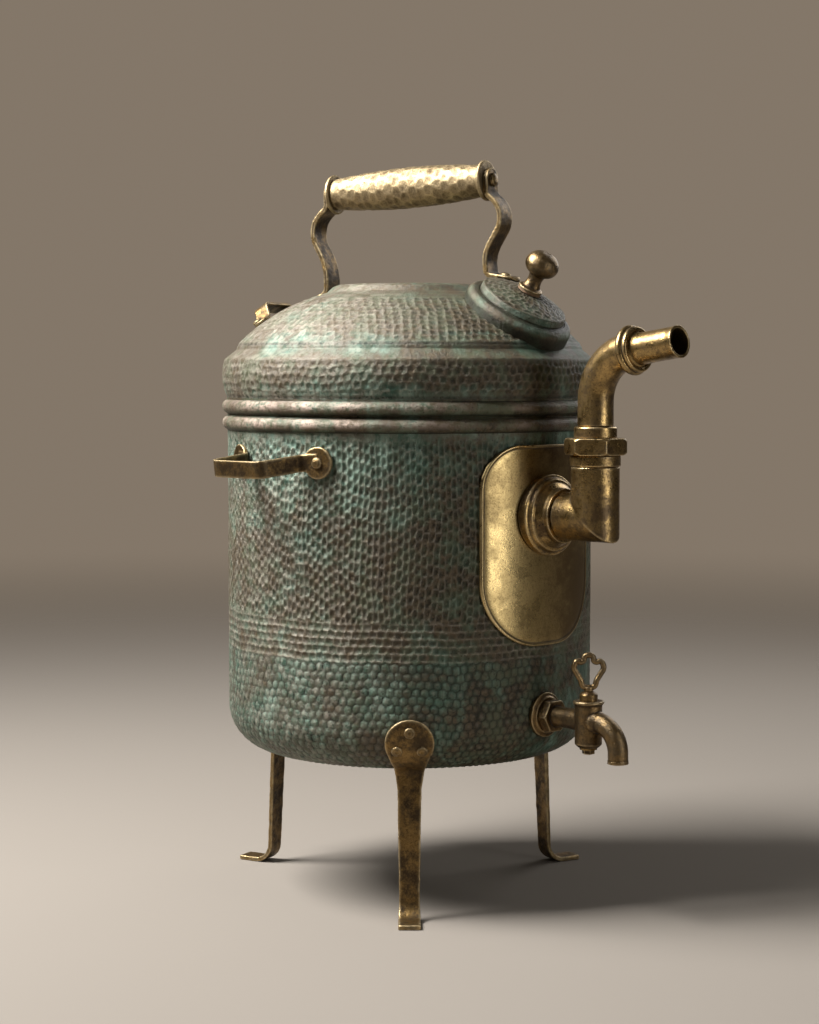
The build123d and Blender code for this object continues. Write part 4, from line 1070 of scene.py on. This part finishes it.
def wrapped_plate():
    """The plate as rings along its outline, from its back round its rim to its middle."""
    base = plate_outline(plate_border)
    tangent = np.roll(base, -1, 0) - np.roll(base, 1, 0)
    outward = np.stack((tangent[:, 1], -tangent[:, 0]), 1) / np.hypot(*tangent.T)[:, None]
    centre = np.array((0, (plate_low.z + plate_high.z) / 2))
    rim = ((0.0014, 0.0000), (0.0002, 0.0004), (0.0000, 0.0012), (0.0004, 0.0020), (0.0011, 0.0024),
           (0.0018, 0.0022), (0.0024, 0.0018), (0.0029, 0.0016), (0.0036, 0.0017), (0.0050, 0.0019))
    rings = [(base + outward * (plate_border - inset), lift, inset) for inset, lift in rim]
    rings = [(centre + (rings[0][0] - centre) * 0.5, 0.0, 0.0)] + rings
    rings += [(centre + (base - centre) * share, plate_lift, 0.02) for share in np.linspace(1, 0.04, 14)]
    vertices, dirt_and_shade, rub_and_highlight, painted_shade_right = [], [], [], []
    for ring, lift, inset in rings:
        radius = drum_radius + film + lift
        vertices += [(x, -sqrt(radius**2 - x**2), z) for x, z in ring]
        # Painted shade: a dark line in the dip inside the rim.
        dirt_and_shade += [float(stripe(inset, 0.0028, 0.0006))] * len(ring)
        rub_and_highlight += [0.7 * float(0 < inset < 0.0015)] * len(ring)
        # Darker towards the right: painted shade and dark reflection, handed on as the bloom note.
        painted_shade_right += [float(eased(x, -0.030, 0.045)) for x, _ in ring]
    sides = len(base)
    faces = []
    for low in range(0, (len(rings) - 1) * sides, sides):
        high = low + sides
        faces += [(low + i, low + (i + 1) % sides, high + (i + 1) % sides, high + i) for i in range(sides)]
    faces.append(list(range(sides))[::-1])
    faces.append(list(range(len(rings) * sides))[-sides:])
    notes = dict(dirt_and_shade=np.array(dirt_and_shade), rub_and_highlight=np.array(rub_and_highlight), bloom=np.array(painted_shade_right))
    return solid("wrapped_inlet_plate", vertices, faces, **notes)


plate = dress(wrapped_plate(), "inlet_plate", brass["plate_brass"])
print("Plate has", len(plate.data.vertices), "vertices")

# %% [markdown]
# ## The hammered grip
# The bail's grip is a hollow barrel of brass. Broad flat blows left it
# faceted, and the facets catch the light one by one. It turns on the bail's
# rod, so it is spun about the line through the middles of its end flanges.

# %% Grip
left_middle, right_middle = (
    (low + high) / 2 for low, high in (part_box("grip_flange_left"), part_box("grip_flange_right"))
)
grip_axis = (right_middle - left_middle).normalized()
grip_turn = grip_axis.to_track_quat("Z", "Y").to_matrix().to_4x4()
grip_place = Matrix.Translation((left_middle + right_middle) / 2) @ grip_turn
grip_half = 0.0673
grip_end, grip_middle, grip_wall = 0.0122, 0.0163, 0.0020
facet_length, facets_round, facet_depth = 0.0072, 11, 0.00055


def grip_relief(bearing, travel, height):
    """Broad facets on the grip's outer face."""
    lane = height / facet_length + 40
    mark, tone = marks(lane, evenly(bearing, facets_round), bricks(0.4, 8), 71, stray=0.2)
    outer = travel < travel.max() * 0.49
    ends = eased(np.abs(height), grip_half - 0.009, grip_half - 0.003)
    push = (1 - ends) * facet_depth * bowl(mark) * outer
    dirt_and_shade = 0.12 * eased(mark, 0.3, 0.8) + 0.25 * tone
    return push, dirt_and_shade * outer, (1 - eased(mark, 0.05, 0.3)) * 0.4 * outer


grip_points = section(
    (grip_end, -grip_half),
    ((grip_middle, 0), (grip_end, grip_half), 0.0012),
    ((grip_end - grip_wall, grip_half), 0.001),
    ((grip_middle - grip_wall, 0), (grip_end - grip_wall, -grip_half), 0.006),
    ((grip_end - 0.0002, -grip_half), 0.001),
)
grip = spun("hammered_grip", grip_points, 96, grip_relief, closed=True, place=grip_place)
dress(grip, "grip_tube", brass["grip_brass"])
print("Grip lies along", [round(c, 3) for c in grip_axis])

# %% [markdown]
# ## Forged and cast brass
# The rest of what shows is brass of the right shape already: strap legs and
# handles cut from plate, and turned or cast fittings. Each gets its corners
# rubbed and its skin made uneven, the forged straps and hammered rivets more
# than what came off a lathe. The grain is the voxel's size, small on small
# pieces, so that no detail drowns in it.

# %% Worked brass pieces
worked = (
    # nodes, grain, rubs, lumps, paint
    ("leg_front leg_right leg_rear", 0.0007, 3, 0.00022, "strap_brass"),
    ("leg_rivets", 0.0004, 2, 0.00030, "strap_brass"),
    ("side_handle_left side_handle_right", 0.0006, 3, 0.00020, "strap_brass"),
    ("side_handle_rivets", 0.0004, 2, 0.00025, "strap_brass"),
    ("inlet_flange", 0.0005, 2, 0.00010, "aged_brass"),
    ("elbow", 0.0006, 3, 0.00012, "aged_brass"),
    ("elbow_collar", 0.0004, 2, 0.00006, "aged_brass"),
    ("union_nut", 0.0005, 2, 0.00008, "aged_brass"),
    ("neck_ferrule", 0.0004, 2, 0.00006, "aged_brass"),
    ("swan_neck", 0.0006, 3, 0.00012, "aged_brass"),
    ("neck_ring neck_outlet", 0.0004, 2, 0.00006, "aged_brass"),
    ("tap_rosette", 0.0004, 2, 0.00010, "tap_bronze"),
    ("tap_body", 0.0004, 3, 0.00008, "tap_bronze"),
    ("tap_key", 0.0003, 2, 0.00010, "tap_bronze"),
    ("plug_nut", 0.0003, 1, 0.00004, "tap_bronze"),
    ("stopper_knob", 0.0004, 2, 0.00006, "tap_bronze"),
    ("bail_strap_left bail_strap_right", 0.0006, 3, 0.00018, "strap_brass"),
    ("bail_foot_rivets", 0.0004, 2, 0.00035, "strap_brass"),
    ("bail_rod_heads", 0.0003, 2, 0.00015, "aged_brass"),
    ("grip_flange_left grip_flange_right", 0.0004, 2, 0.00006, "grip_brass"),
    ("rear_loop", 0.0005, 3, 0.00020, "strap_brass"),
    ("rear_loop_rivets", 0.0004, 2, 0.00025, "strap_brass"),
)
total = 0
for nodes, grain, rubs, lumps, paint in worked:
    for node in nodes.split():
        piece = dress(worked_copy(node, grain, rubs, lumps), node, brass[paint])
        total += len(piece.data.polygons)
        print(piece.name, len(piece.data.polygons))
print("Worked brass has", total, "faces")

# %% [markdown]
# ## What stays as packed
# Inside the fittings everything has the right shape already and hardly
# shows: the rod, the plug, the washers and the back nuts. They only get
# their metal or leather.

# %% Inner pieces
hides = ("inlet_gasket", "tap_gasket", "union_washer", "stopper_washer")
for name, node in frame["nodes"].items():
    if not node.hide_render:
        node.data.materials.clear()
        node.data.materials.append(leather if name in hides else brass["aged_brass"])
        print("as packed:", name)

# %% [markdown]
# ## Sizes, and done
# The shown box is set against the imported model's box, and the largest
# growth is printed.

# %% Sizes and finish
shown_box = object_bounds()
growth = [b - a for a, b in zip(shown_box[0], cad_box[0])] + [a - b for a, b in zip(shown_box[1], cad_box[1])]
print("Largest growth:", round(max(growth) * 1000, 2), "mm")
